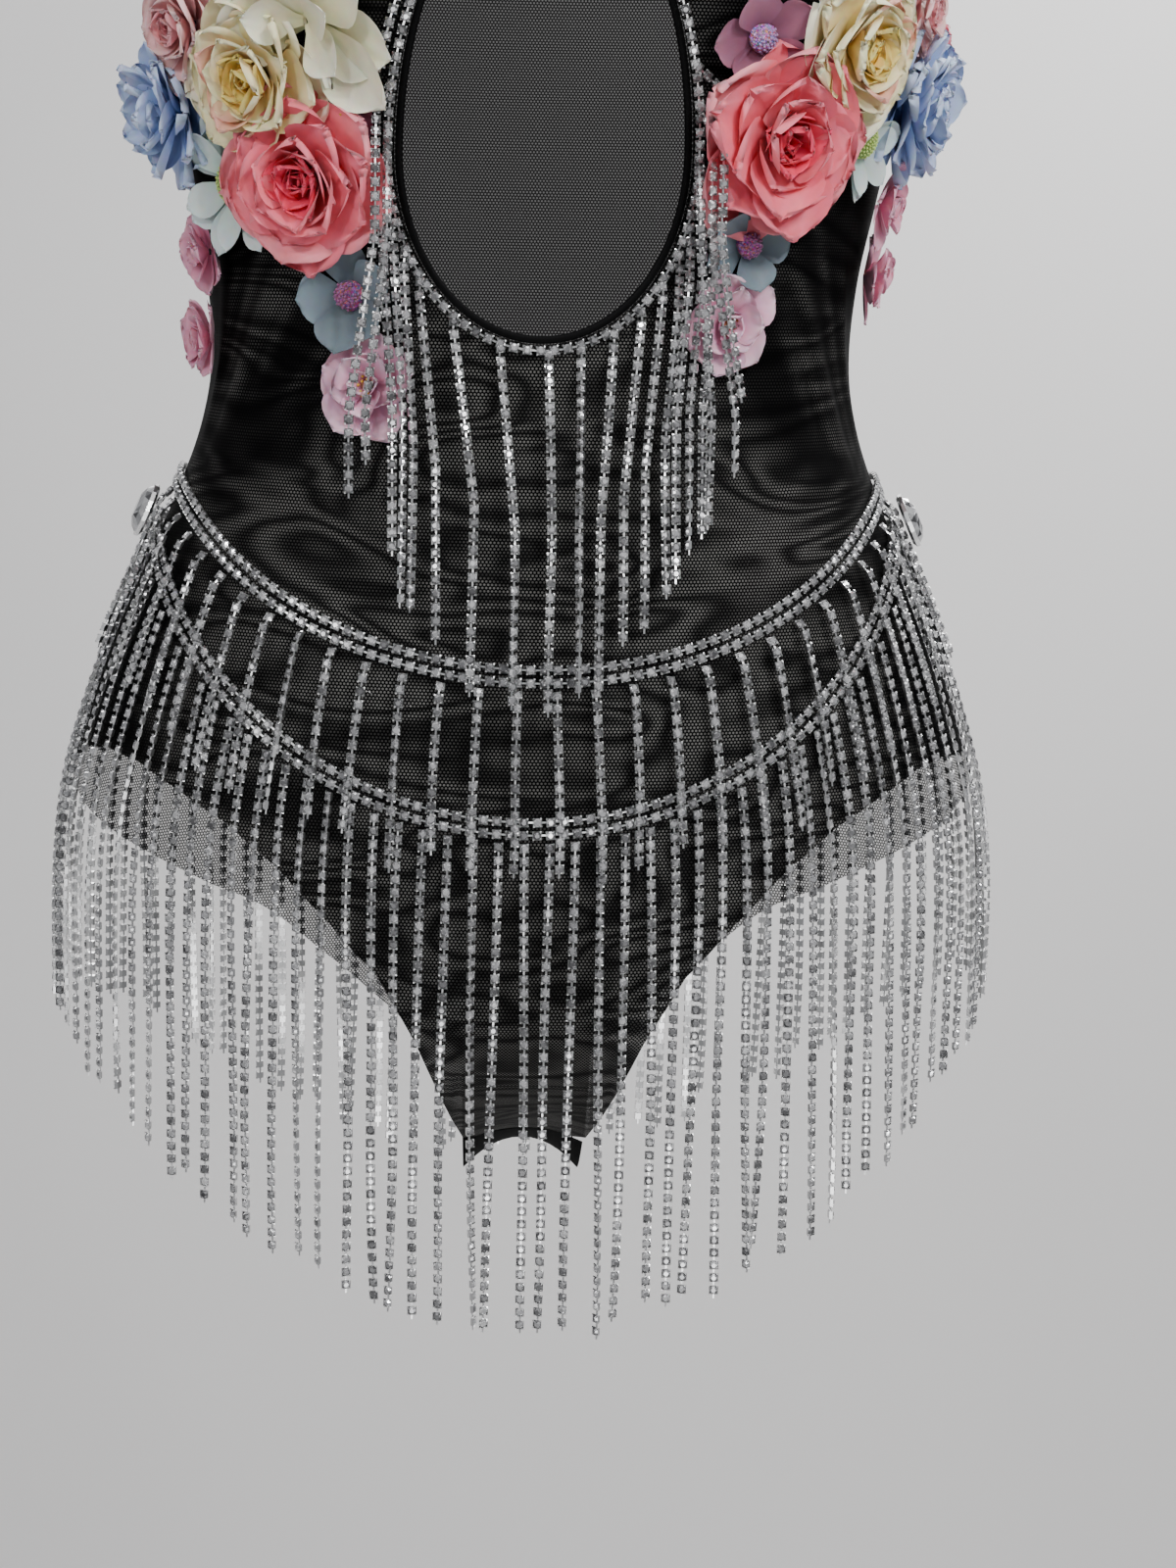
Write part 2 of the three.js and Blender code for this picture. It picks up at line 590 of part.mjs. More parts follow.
function binding(name, edge, color) {
  const body = new Body();
  const side = CLOTH_SIDE[edge] * BINDING_WIDTH;
  const half = BINDING_THICK / 2;
  const from = Math.min(0, side);
  const to = Math.max(0, side);
  bandFaces(body, band(body, EDGE_LINES[edge], from, to, -half, half, true));
  return body.mesh(name, color, 0.75);
}

// ---------------------------------------------------------------- chain fringes
// The way down of a strand that starts on the cloth at angle t and height top: it lies on the
// body while that widens below it, and falls straight where the body draws in again.
function hangingPath(t, top, length, liftAt) {
  const path = [];
  const isFront = Math.cos(rad(t)) > 0;
  let widest = 0;
  let deepest = 0;
  for (let drop = 0; drop <= length + 6; drop += 2) {
    const sec = section(stationAt(top - drop));
    widest = Math.max(widest, sec.w);
    deepest = Math.max(deepest, isFront ? sec.front : sec.back);
    const x = widest * Math.sin(rad(t));
    const y = -deepest * Math.cos(rad(t));
    const out = new THREE.Vector3(x / widest ** 2, y / deepest ** 2, 0).normalize();
    path.push(new THREE.Vector3(x, y, top - drop).addScaledVector(out, liftAt(drop)));
  }
  const { x, y } = path[0];
  return { path, out: new THREE.Vector3(x / widest ** 2, y / deepest ** 2, 0).normalize() };
}

// A path of close points, cut off at a length.
function cutOff(path, length) {
  const kept = [path[0]];
  let walked = 0;
  for (let i = 1; i < path.length; i += 1) {
    const step = path[i].distanceTo(path[i - 1]);
    if (walked + step >= length) {
      kept.push(path[i - 1].clone().lerp(path[i], (length - walked) / step));
      return kept;
    }
    walked += step;
    kept.push(path[i]);
  }
  return kept;
}

// The few points of a path that keep every other one within a tolerance of it.
function simplify(path, tolerance) {
  const last = path.length - 1;
  const chord = new THREE.Line3(path[0], path[last]);
  let worst = { i: 0, miss: 0 };
  for (let i = 1; i < last; i += 1) {
    const miss = chord.closestPointToPoint(path[i], true, new THREE.Vector3()).distanceTo(path[i]);
    if (miss > worst.miss) worst = { i, miss };
  }
  if (worst.miss <= tolerance) return [path[0], path[last]];
  const before = simplify(path.slice(0, worst.i + 1), tolerance);
  return [...before.slice(0, -1), ...simplify(path.slice(worst.i), tolerance)];
}

// A three-sided strand that grows out of an open four-cornered face of its backing strip.
function strand(body, root, path, out) {
  const along = out.clone().cross(new THREE.Vector3(0, 0, 1)).normalize().negate();
  const half = STRAND_WIDTH / 2;
  const ringAt = (p) => [[-half, -1], [half, -1], [0, 1]].map(([side, lift]) => body.add(
    p.clone().addScaledVector(along, side).addScaledVector(out, lift * CHAIN_THICK / 2),
  ));
  let ring = ringAt(path[0]);
  body.quad(root[0], root[1], ring[1], ring[0]);
  body.quad(root[1], root[2], ring[2], ring[1]);
  body.faces.push([root[2], root[3], ring[2]]);
  body.quad(root[3], root[0], ring[0], ring[2]);
  for (const p of path.slice(1)) {
    const next = ringAt(p);
    for (let k = 0; k < 3; k += 1) {
      const after = (k + 1) % 3;
      body.quad(ring[k], ring[after], next[after], next[k]);
    }
    ring = next;
  }
  body.faces.push(ring);
}

function beltHeight(belt, t) {
  const sway = belt.skew * Math.sin(rad(t));
  return lerp(belt.side, belt.centre, Math.cos(rad(t)) ** 2) + sway;
}

// Angles at which the strands of a belt start, evenly spaced along it.
function evenAngles(belt) {
  const fine = 720;
  const at = (i) => {
    const t = -180 + 360 * i / fine;
    return { t, p: surface(t, stationAt(beltHeight(belt, t))) };
  };
  const points = Array.from({ length: fine + 1 }, (_, i) => at(i));
  const lengths = [0];
  for (let i = 1; i <= fine; i += 1) {
    lengths.push(lengths[i - 1] + points[i].p.distanceTo(points[i - 1].p));
  }
  return Array.from({ length: belt.strands }, (_, k) => {
    const mark = lengths[fine] * (k + 0.5) / belt.strands;
    const i = lengths.findIndex((value) => value >= mark);
    const share = (mark - lengths[i - 1]) / (lengths[i] - lengths[i - 1]);
    return lerp(points[i - 1].t, points[i].t, share);
  });
}

function hipFringe(name, belt, over) {
  const body = new Body();
  const starts = evenAngles(belt);
  const line = [];
  for (const t of starts) {
    const s = stationAt(beltHeight(belt, t));
    const step = bare(t + 0.5, s).distanceTo(bare(t - 0.5, s));
    const half = STRAND_WIDTH / 2 / step;
    for (const at of [t - half, t + half]) {
      line.push({ t: at, s: stationAt(beltHeight(belt, at)) });
    }
  }
  const track = frames(line, true);
  const low = ON_CLOTH;
  const strip = band(body, track, -BELT_HALF, BELT_HALF, low, low + CHAIN_THICK, true);
  bandFaces(body, strip, (i) => i % 2 === 0);
  starts.forEach((t, k) => {
    const top = beltHeight(belt, t) - BELT_HALF - 1;
    const middle = low + CHAIN_THICK / 2;
    const { path, out } = hangingPath(t, top, belt.length, (drop) => (
      middle + (over ? OVER_BELT * clamp(drop / 4, 0, 1) : 0.5)
    ));
    const length = belt.length + STONE_PITCH * Math.round(scatter(k, 3) * 0.8);
    const a = strip.rings[2 * k];
    const b = strip.rings[2 * k + 1];
    strand(body, [a[0], b[0], b[3], a[3]], simplify(cutOff(path, length), over ? 0.6 : 0.9), out);
  });
  return body.mesh(name, 0xd9dce0, 0.2, 0.8);
}

// Strands round the lower part of the keyhole. Those that start high on its sides hang further
// out, clear of each other and of the flowers.
function keyholeFringe(name) {
  const body = new Body();
  const count = KEYHOLE_STRANDS.length;
  const line = [];
  const point = (angle) => {
    const { x, h } = keyholePoint(Math.abs(angle));
    const s = stationAt(h);
    return { t: Math.sign(angle) * angleOf(x, s), s };
  };
  for (const { angle } of KEYHOLE_STRANDS) {
    const half = 1.5;
    line.push(point(angle - half), point(angle + half));
  }
  for (let angle = 120; angle <= 240; angle += 10) {
    line.push(point(angle > 180 ? angle - 360 : angle));
  }
  const track = frames(line, true);
  const low = ON_CLOTH + 0.2;
  const inset = CUT_BACK + 0.3;
  const strip = band(body, track, -(inset + 3), -inset, low, low + CHAIN_THICK, true);
  bandFaces(body, strip, (i) => i % 2 === 0 && i < 2 * count);
  KEYHOLE_STRANDS.forEach(({ angle, near, far, stones, front }, k) => {
    const top = keyholePoint(Math.abs(angle)).h - 8;
    const side = Math.sign(angle);
    const total = KEYHOLE_STRAND_LENGTH + STONE_PITCH * stones;
    const path = [];
    let reach = 0;
    for (let drop = 0; drop <= total + 6; drop += 3) {
      const level = top - drop;
      const share = clamp((Math.min(FALL_LEVEL, top) - level) / FALL_HEIGHT, 0, 1);
      const at = lerp(near, far, share) * side;
      const s = stationAt(level);
      const depth = -surface(angleOf(at, s), s).y;
      const beside = OVER_FLOWER * clamp((Math.abs(at) - 40) / 8, 0, 1);
      const clear = clamp(drop / 16, 0, 1) * (OVER_BELT + 2.3 + beside + OVER_STRAND * front);
      reach = Math.max(reach, depth + low + CHAIN_THICK / 2 + clear);
      path.push(new THREE.Vector3(at, -reach, level));
    }
    const a = strip.rings[2 * k];
    const b = strip.rings[2 * k + 1];
    const out = new THREE.Vector3(0, -1, 0);
    strand(body, [a[0], b[0], b[3], a[3]], simplify(cutOff(path, total), 0.8), out);
  });
  return body.mesh(name, 0xd9dce0, 0.2, 0.8);
}

// ---------------------------------------------------------------- flowers and crystals
// Flowers are laid out on the cloth as if it were flat: distance round the body and height.
const FLAT_SECTION = { w: 133, front: 97 };
const flatTable = Array.from({ length: 181 }, (_, i) => i).reduce((table, i) => {
  const angle = rad(i);
  const { w, front } = FLAT_SECTION;
  const step = Math.hypot(w * Math.cos(angle), front * Math.sin(angle)) * rad(1);
  table.push(i === 0 ? 0 : table[i - 1] + step);
  return table;
}, []);

function roundAt(t) {
  const size = Math.min(Math.abs(t), 179.99);
  const i = Math.floor(size);
  return Math.sign(t) * lerp(flatTable[i], flatTable[i + 1], size - i);
}

function angleAtRound(distance) {
  const size = Math.abs(distance);
  const i = Math.max(1, flatTable.findIndex((value) => value >= size));
  const f = (size - flatTable[i - 1]) / (flatTable[i] - flatTable[i - 1]);
  return Math.sign(distance) * (i - 1 + f);
}

// How far a flower may reach in one direction before it meets a neighbour's share of the cloth.
function roomToward(flower, direction) {
  let room = Infinity;
  for (const other of FLOWERS) {
    if (other === flower) continue;
    const dx = roundAt(other.t) - roundAt(flower.t);
    const dy = other.h - flower.h;
    const apart = Math.hypot(dx, dy);
    if (apart > flower.radius + other.radius + FLOWER_GAP) continue;
    const facing = (dx * Math.cos(direction) + dy * Math.sin(direction)) / apart;
    if (facing <= 0.01) continue;
    const share = (apart ** 2 + flower.radius ** 2 - other.radius ** 2) / (2 * apart);
    room = Math.min(room, (share - FLOWER_GAP / 2) / facing);
  }
  return room;
}

// Whether a place on the cloth is kept free round the keyhole.
function keptFree(flower, t, h) {
  const x = Math.abs(section(stationAt(h)).w * Math.sin(rad(t)));
  if (flower.stand > 8 && x < FALL_ZONE) return true;
  const middle = (KEYHOLE.top + KEYHOLE.bottom) / 2;
  const across = x / (KEYHOLE.halfWidth + RIM_ZONE);
  const up = (h - middle) / ((KEYHOLE.top - KEYHOLE.bottom) / 2 + RIM_ZONE);
  return Math.hypot(across, up) < 1;
}

function flowerHead(flower) {
  const body = new Body();
  const around = flower.lobes * (flower.radius > 20 ? 3 : 2);
  const middle = roundAt(flower.t);
  const at = (share, direction, lift) => {
    const petal = 1 - flower.cut * (0.5 + 0.5 * Math.cos(flower.lobes * direction));
    let full = Math.min(flower.radius * petal, roomToward(flower, direction));
    const place = (reach) => ({
      t: angleAtRound(middle + reach * Math.cos(direction)),
      h: flower.h + reach * Math.sin(direction),
    });
    while (full > 1 && keptFree(flower, place(full).t, place(full).h)) full -= 0.5;
    const reach = share * full;
    const { t, h } = place(reach);
    const s = stationAt(h);
    return surface(t, s, FLOWER_LIFT + lift);
  };
  const levels = [
    { share: 0.55, lift: 0 }, { share: 1, lift: flower.stand * 0.45 },
    { share: 0.8, lift: flower.stand * 0.85 }, { share: 0.35, lift: flower.stand },
  ];
  const rings = levels.map(({ share, lift }) => Array.from({ length: around }, (_, k) => (
    body.add(at(share, 2 * Math.PI * k / around, lift))
  )));
  const bottom = body.add(at(0, 0, 0));
  const top = body.add(at(0, 0, flower.stand * 0.92));
  for (let k = 0; k < around; k += 1) {
    const next = (k + 1) % around;
    body.faces.push([bottom, rings[0][next], rings[0][k]]);
    for (let i = 0; i + 1 < rings.length; i += 1) {
      body.quad(rings[i][k], rings[i][next], rings[i + 1][next], rings[i + 1][k]);
    }
    body.faces.push([top, rings.at(-1)[k], rings.at(-1)[next]]);
  }
  return body.mesh(flower.name, flower.color, 0.7);
}

// A pear-shaped stone in its setting, point upwards, at one hip side.
function hipCrystal(name, sign) {
  const body = new Body();
  const t = sign * CRYSTAL.angle;
  const s = stationAt(CRYSTAL.height);
  const normal = outward(t, s);
  const centre = bare(t, s).addScaledVector(normal, CRYSTAL.lift);
  const side = new THREE.Vector3(0, 0, 1).cross(normal).normalize();
  const up = normal.clone().cross(side).normalize();
  const outline = (share, lift) => Array.from({ length: CRYSTAL.sides }, (_, k) => {
    const angle = 2 * Math.PI * k / CRYSTAL.sides;
    const taper = 1 - 0.35 * Math.max(0, Math.sin(angle)) ** 2;
    const x = share * CRYSTAL.wide / 2 * Math.cos(angle) * taper;
    const z = share * CRYSTAL.long / 2 * Math.sin(angle);
    const p = centre.clone().addScaledVector(side, x).addScaledVector(up, z);
    return body.add(p.addScaledVector(normal, lift));
  });
  const rings = [outline(0.86, 0), outline(1, 1.6), outline(0.95, 3.2), outline(0.55, CRYSTAL.thick)];
  const bottom = body.add(centre.clone());
  const top = body.add(centre.clone().addScaledVector(normal, CRYSTAL.thick));
  for (let k = 0; k < CRYSTAL.sides; k += 1) {
    const next = (k + 1) % CRYSTAL.sides;
    body.faces.push([bottom, rings[0][next], rings[0][k]], [top, rings[3][k], rings[3][next]]);
    for (let i = 0; i + 1 < rings.length; i += 1) {
      body.quad(rings[i][k], rings[i][next], rings[i + 1][next], rings[i + 1][k]);
    }
  }
  return body.mesh(name, 0xdfe8ee, 0.1, 0.1);
}

// ---------------------------------------------------------------- the whole garment
const BLACK_MESH = 0x101012;
const BLACK_TRIM = 0x060607;
const group = new THREE.Group();
group.add(
  panel('front_body', FRONT_ROWS, FRONT_COLUMNS, false, BLACK_MESH),
  panel('back_body', BACK_ROWS, BACK_COLUMNS, true, BLACK_MESH),
  gusset('crotch_gusset', BLACK_TRIM),
  lining('front_lining', BLACK_TRIM),
  binding('keyhole_binding', 'keyhole', BLACK_TRIM),
  binding('neck_binding', 'neck', BLACK_TRIM),
  binding('armhole_binding_l', 'armhole_l', BLACK_TRIM),
  binding('armhole_binding_r', 'armhole_r', BLACK_TRIM),
  keyholeFringe('keyhole_fringe'),
  hipFringe('hip_fringe_upper', UPPER_BELT, true),
  hipFringe('hip_fringe_lower', LOWER_BELT, false),
  hipCrystal('hip_crystal_l', -1),
  hipCrystal('hip_crystal_r', 1),
  ...FLOWERS.map(flowerHead),
);
group.position.z = -STRAP_TOP;

export default group;
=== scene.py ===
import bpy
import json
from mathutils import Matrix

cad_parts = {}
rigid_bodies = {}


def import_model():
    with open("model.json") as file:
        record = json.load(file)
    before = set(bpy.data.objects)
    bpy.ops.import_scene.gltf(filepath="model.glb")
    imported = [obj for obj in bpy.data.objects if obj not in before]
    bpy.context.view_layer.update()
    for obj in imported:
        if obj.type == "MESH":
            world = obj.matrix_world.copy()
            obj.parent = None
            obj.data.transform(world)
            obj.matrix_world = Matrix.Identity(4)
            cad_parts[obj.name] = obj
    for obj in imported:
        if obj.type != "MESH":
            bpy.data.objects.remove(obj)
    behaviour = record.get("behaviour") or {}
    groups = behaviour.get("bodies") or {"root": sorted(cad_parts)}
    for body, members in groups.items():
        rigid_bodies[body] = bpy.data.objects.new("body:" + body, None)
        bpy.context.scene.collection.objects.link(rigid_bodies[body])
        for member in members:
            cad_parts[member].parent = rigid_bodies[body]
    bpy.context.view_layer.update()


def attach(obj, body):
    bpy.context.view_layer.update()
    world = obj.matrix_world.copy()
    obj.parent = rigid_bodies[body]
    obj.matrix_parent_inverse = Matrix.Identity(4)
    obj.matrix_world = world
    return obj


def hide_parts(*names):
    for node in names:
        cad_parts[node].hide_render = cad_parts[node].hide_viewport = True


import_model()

import json
import math

import bpy
import numpy as np
from mathutils import Matrix, Vector

# Lengths on the garment are in millimetres, as on the maker's table, and are turned into metres
# when a mesh is made. The studio, the net's pitch, what shaders read and the flat sizes of the
# cloth are in metres. Heights h are measured up from the natural waist; angles t in degrees round the
# body, 0 at centre front, +90 at the right side seam, 180 at centre back.
MM = 0.001
STRAP_TOP = 350.0
COLLECTION = bpy.context.scene.collection

# ------------------------------------------------------------------ camera first
CAMERA_AT = (-38.7, -1100.0, 33.5)
CAMERA_YAW, CAMERA_PITCH, CAMERA_ROLL = 3.27, 10.0, 1.1
FOCAL_PIXELS, FRAME_PIXELS, SENSOR = 2970.0, 1600.0, 36.0


def camera():
    yaw, pitch, roll = (math.radians(a) for a in (CAMERA_YAW, CAMERA_PITCH, CAMERA_ROLL))
    ahead = Vector((math.sin(yaw) * math.cos(pitch), math.cos(yaw) * math.cos(pitch), -math.sin(pitch)))
    level = Vector((math.cos(yaw), -math.sin(yaw), 0.0))
    above = level.cross(ahead)
    right = level * math.cos(roll) + above * math.sin(roll)
    up = above * math.cos(roll) - level * math.sin(roll)
    data = bpy.data.cameras.new("camera")
    data.sensor_width = SENSOR
    data.lens = FOCAL_PIXELS / FRAME_PIXELS * SENSOR
    data.clip_start, data.clip_end = 0.05, 20.0
    obj = bpy.data.objects.new("camera", data)
    COLLECTION.objects.link(obj)
    turn = Matrix((right, up, -ahead)).transposed().to_4x4()
    x, y, h = CAMERA_AT
    turn.translation = Vector((x, y, h - STRAP_TOP)) * MM
    obj.matrix_world = turn
    bpy.context.scene.camera = obj


camera()

# ------------------------------------------------------------------ sizes shared with the cut
KEYHOLE = dict(bottom=11.0, widest=72.0, top=165.0, half=48.0)
STRAP_INNER, STRAP_OUTER = 62.0, 108.0
FRONT_NECK, BACK_NECK = (232.0, 330.0), (296.0, 342.0)      # bottom, and where the sides run straight
ARMHOLE = (190.0, 300.0)
HIP_LINE = -120.0
CROTCH_ANGLE = 7.2
BINDING_WIDTH, BINDING_THICK = 2.7, 1.8
CUT_BACK = BINDING_WIDTH + 0.3
ON_CLOTH = 1.1
PITCH = 4.7                     # from stone to stone along a chain
CHAIN_THICK = 2.0
BELT_HALF = 3.9
UPPER_BELT = dict(centre=-105.0, side=-44.0, skew=0.0, strands=60, length=66.0)
LOWER_BELT = dict(centre=-158.0, side=-60.0, skew=2.5, strands=104, length=180.0)
OVER_BELT, OVER_FLOWER = 3.0, 7.5
OVER_STRAND = 2.7
KEY_LENGTH, FALL_LEVEL, FALL_HEIGHT = 126.0, 45.0, 60.0
# strands round the keyhole: angle on the rim, how far out each first hangs and ends, stones more
# or less than the rest, and 1 if it hangs in front of others
KEY_STRANDS = [
    (-104, 57.0, 65.0, 3, 1), (-95, 53.2, 60.5, -3, 1), (-83, 54.6, 51.2, 0, 0),
    (-71, 51.1, 47.4, 1, 0), (-61, 47.4, 43.6, -1, 0), (-51, 42.0, 35.5, -1, 0),
    (-34, 30.2, 22.0, 0, 0), (-15, 14.0, 8.5, -1, 0), (3, 2.8, 4.5, -1, 0),
    (15, 14.0, 13.0, -2, 0), (28, 25.3, 21.5, -1, 0), (40, 34.8, 28.5, -3, 0),
    (51, 42.0, 36.0, -2, 0), (62, 47.7, 43.0, -2, 0), (71, 51.3, 47.2, -1, 0),
    (80, 55.0, 51.2, -1, 0), (88, 58.6, 55.2, 0, 0), (94, 53.0, 59.3, 1, 1),
    (101, 56.7, 66.5, 0, 1), (109, 60.4, 70.5, -2, 1),
]
CRYSTAL = dict(angle=84.0, h=-60.0, long=21.0, wide=15.0, lift=6.2)

# height, half width, depth in front, depth behind, set-back of the seam, droop of the flanks
LEVEL, HALF, FRONT, BEHIND, SET_BACK, DROOP = range(6)
SECTIONS = np.array([
    (-300, 176, 0, 0, 4, 290), (-296, 176, 22, 26, 4, 240), (-284, 176, 48, 54, 2, 110),
    (-265, 176, 73, 84, 1, 30), (-240, 176, 91, 105, 0, 0), (-216, 177, 100, 117, 0, 0),
    (-185, 176, 104, 120, 0, 0), (-156, 172, 105, 117, 0, 0), (-125, 163, 105, 109, 0, 0),
    (-98, 153, 103, 99, 0, 0), (-75, 143, 100, 92, 0, 0), (-50, 132, 95, 85, 0, 0),
    (-25, 123, 90, 79, 0, 0), (0, 119, 86, 76, 0, 0), (30, 121, 88, 77, 0, 0),
    (60, 127, 91, 82, 0, 0), (90, 133, 94, 88, 0, 0), (120, 138, 98, 91, 0, 0),
    (150, 142, 102, 93, 0, 0), (180, 145, 104, 94, 0, 0), (210, 148, 102, 94, 0, 1),
    (245, 150, 96, 91, 0, 3), (280, 150, 86, 84, 0, 7), (310, 150, 73, 73, 0, 11),
    (335, 150, 56, 57, 0, 15), (352, 150, 37, 38, 0, 18), (362, 150, 18, 19, 0, 20),
    (365, 150, 0, 0, 0, 20),
], dtype=float)
TOP = len(SECTIONS) - 1
BUST = dict(x=76.0, h=148.0, rise=18.0, wide=42.0, tall=52.0)

# height of the leg opening's cut edge: angle from the centre line, front, back
LEG_ANGLE, LEG_FRONT, LEG_BACK = np.array([
    (7.2, -284, -284), (10, -265, -279), (13.5, -240, -271), (18, -214, -262), (24, -195, -251),
    (31, -176, -240), (39, -161.5, -228), (48, -151.5, -215), (57, -144, -203), (66, -141.5, -191),
    (74, -143, -180), (82, -149, -168), (90, -157, -157),
], dtype=float).T

# the largest folds, the same on both sides: angle, height, tilt, length, width, rise
FOLDS = [
    (42, 20, -62, 70, 7, 1.3), (56, 12, -66, 84, 8, 1.6), (70, 8, -72, 74, 7, 1.2),
    (52, -40, 18, 56, 6, 1.0), (14, -72, 4, 56, 6, 0.9), (128, 10, 62, 84, 8, 1.5),
    (146, -26, 28, 60, 7, 1.2),
]
# fine creases, each one its own: angle (signed), height, tilt, length, width, rise. Each bows by
# this much for every square millimetre along it.
CREASE_BOW = 0.0022
CREASES = [
    (-44, 26, 52, 74, 2.4, 0.7), (-50, 20, 50, 88, 3.0, 0.8), (-56, 14, 54, 92, 2.6, 0.7),
    (-62, 12, 58, 80, 3.4, 0.6), (-69, 6, 64, 66, 2.6, 0.5), (-38, 6, 44, 48, 2.2, 0.4),
    (-66, -50, -22, 64, 2.6, 0.6), (-60, -60, -28, 78, 3.2, 0.7), (-52, -46, -14, 70, 2.4, 0.5),
    (-50, -74, -26, 60, 2.8, 0.6), (-40, -62, -18, 74, 2.6, 0.5), (-34, -82, -16, 62, 2.2, 0.5),
    (-22, -92, -8, 56, 2.4, 0.5), (-8, -84, 3, 62, 2.0, 0.45), (6, -92, 2, 70, 2.6, 0.5),
    (10, -78, 8, 52, 2.0, 0.35), (24, -60, 30, 44, 2.6, 0.5), (30, -72, 38, 60, 3.2, 0.7),
    (36, -56, 34, 66, 2.6, 0.6), (42, -66, 30, 72, 2.8, 0.6), (50, -50, 22, 74, 2.6, 0.5),
    (56, -64, 30, 66, 3.0, 0.6), (66, -52, 20, 54, 2.6, 0.5), (46, 16, -60, 70, 2.6, 0.6),
    (52, 8, -58, 88, 2.8, 0.8), (58, 4, -62, 84, 3.0, 0.7), (64, 10, -66, 86, 2.4, 0.6),
    (72, 2, -70, 66, 3.0, 0.5), (-20, -30, -34, 54, 2.4, 0.3), (16, -26, 30, 48, 2.4, 0.3),
    (-2, -122, 2, 70, 2.6, 0.4), (-26, -136, -20, 60, 2.8, 0.5), (30, -134, 22, 62, 2.6, 0.5),
    (-16, -190, -50, 60, 2.6, 0.4), (17, -188, 52, 56, 2.4, 0.4), (-48, -116, -24, 66, 3.0, 0.5),
    (50, -112, 26, 60, 2.8, 0.5), (-24, 206, 30, 66, 3.0, 0.6), (28, 214, -34, 60, 3.2, 0.6),
    (-60, 196, 48, 60, 3.0, 0.7), (62, 190, -50, 64, 2.8, 0.7), (-46, 246, 60, 60, 3.4, 0.6),
    (48, 240, -62, 66, 3.0, 0.6), (-130, 24, 56, 78, 3.0, 0.7), (-120, -6, 50, 70, 2.6, 0.6),
    (-146, -34, 30, 66, 2.8, 0.6), (-160, -56, 10, 70, 2.6, 0.5), (178, -66, 2, 74, 2.8, 0.5),
    (158, -58, -12, 66, 2.4, 0.5), (142, -28, -32, 68, 2.8, 0.6), (126, 8, -54, 76, 3.0, 0.7),
    (116, 34, -60, 70, 2.6, 0.6), (-150, 150, 36, 70, 3.2, 0.5), (152, 142, -40, 66, 3.0, 0.5),
    (-156, -170, -40, 70, 3.0, 0.5), (154, -176, 42, 66, 2.8, 0.5),
]


def srgb(code):
    """A colour as written on a swatch, in the renderer's linear numbers."""
    parts = [((code >> shift) & 255) / 255.0 for shift in (16, 8, 0)]
    return tuple(p / 12.92 if p <= 0.04045 else ((p + 0.055) / 1.055) ** 2.4 for p in parts)


def scatter(n, salt):
    """A number from -1 to 1 that looks random and is the same on every run."""
    wave = math.sin(n * 12.9898 + salt * 78.233) * 43758.5453
    return 2 * (wave - math.floor(wave)) - 1


# ------------------------------------------------------------------ the body surface
def section(s):
    """The row of SECTIONS at station s, smoothly between the rows of the table."""
    s = np.clip(np.asarray(s, float), 0, TOP)
    i = np.minimum(np.floor(s).astype(int), TOP - 1)
    a, b, c, d = (SECTIONS[np.clip(i + k, 0, TOP)] for k in (-1, 0, 1, 2))
    f = (s - i)[..., None]
    m, n = (c - a) / 2, (d - b) / 2
    return ((2 * f**3 - 3 * f**2 + 1) * b + (f**3 - 2 * f**2 + f) * m
            + (3 * f**2 - 2 * f**3) * c + (f**3 - f**2) * n)


def station(h, x=0.0):
    """The station whose ring passes height h at a distance x from the centre line."""
    h = np.asarray(h, float)
    x = np.broadcast_to(np.asarray(x, float), h.shape)
    low, high = np.zeros(h.shape), np.full(h.shape, float(TOP))
    for _ in range(34):
        middle = (low + high) / 2
        sec = section(middle)
        below = sec[..., LEVEL] - sec[..., DROOP] * (x / 100) ** 2 < h
        low = np.where(below, middle, low)
        high = np.where(below, high, middle)
    return (low + high) / 2


def bare(t, s):
    """The body under the cloth, at angle t and station s."""
    t, s = np.broadcast_arrays(np.asarray(t, float), np.asarray(s, float))
    sec = section(s)
    a = np.radians(t)
    c = np.cos(a)
    x = sec[..., HALF] * np.sin(a)
    depth = np.where(c > 0, sec[..., FRONT], sec[..., BEHIND]) * c
    aside = (np.abs(x) - BUST["x"]) / BUST["wide"]
    above = (sec[..., LEVEL] - BUST["h"]) / BUST["tall"]
    depth = depth + np.where(c > 0, BUST["rise"] * np.exp(-aside**2 - above**2) * c, 0)
    level = sec[..., LEVEL] - sec[..., DROOP] * (x / 100) ** 2
    return np.stack([x, sec[..., SET_BACK] - depth, level], -1)


def unit(v):
    return v / np.maximum(np.linalg.norm(v, axis=-1, keepdims=True), 1e-9)


def outward(t, s):
    step = 0.02
    s = np.clip(np.asarray(s, float), step, TOP - step)
    t = np.asarray(t, float)
    return unit(np.cross(bare(t + 0.5, s) - bare(t - 0.5, s), bare(t, s + step) - bare(t, s - step)))


def ridges(rows, t, sec, both_sides=False):
    """How far the folds or creases in rows lift the cloth. Folds lie on both sides alike."""
    radius = (sec[..., HALF] + sec[..., FRONT]) / 2
    rise = np.zeros(np.broadcast(t, radius).shape)
    for at, level, tilt, length, width, height in rows:
        away = np.abs(t) - at if both_sides else ((t - at + 180) % 360) - 180
        across, up = away * radius * math.radians(1), sec[..., LEVEL] - level
        c, s = math.cos(math.radians(tilt)), math.sin(math.radians(tilt))
        along, beside = across * c + up * s, up * c - across * s
        if not both_sides:
            beside = beside - CREASE_BOW * along**2 * (1 if at * tilt > 0 else -1)
        rise += height * np.exp(-((along * 2 / length) ** 4)) * np.exp(-((beside / width) ** 2))
    return rise


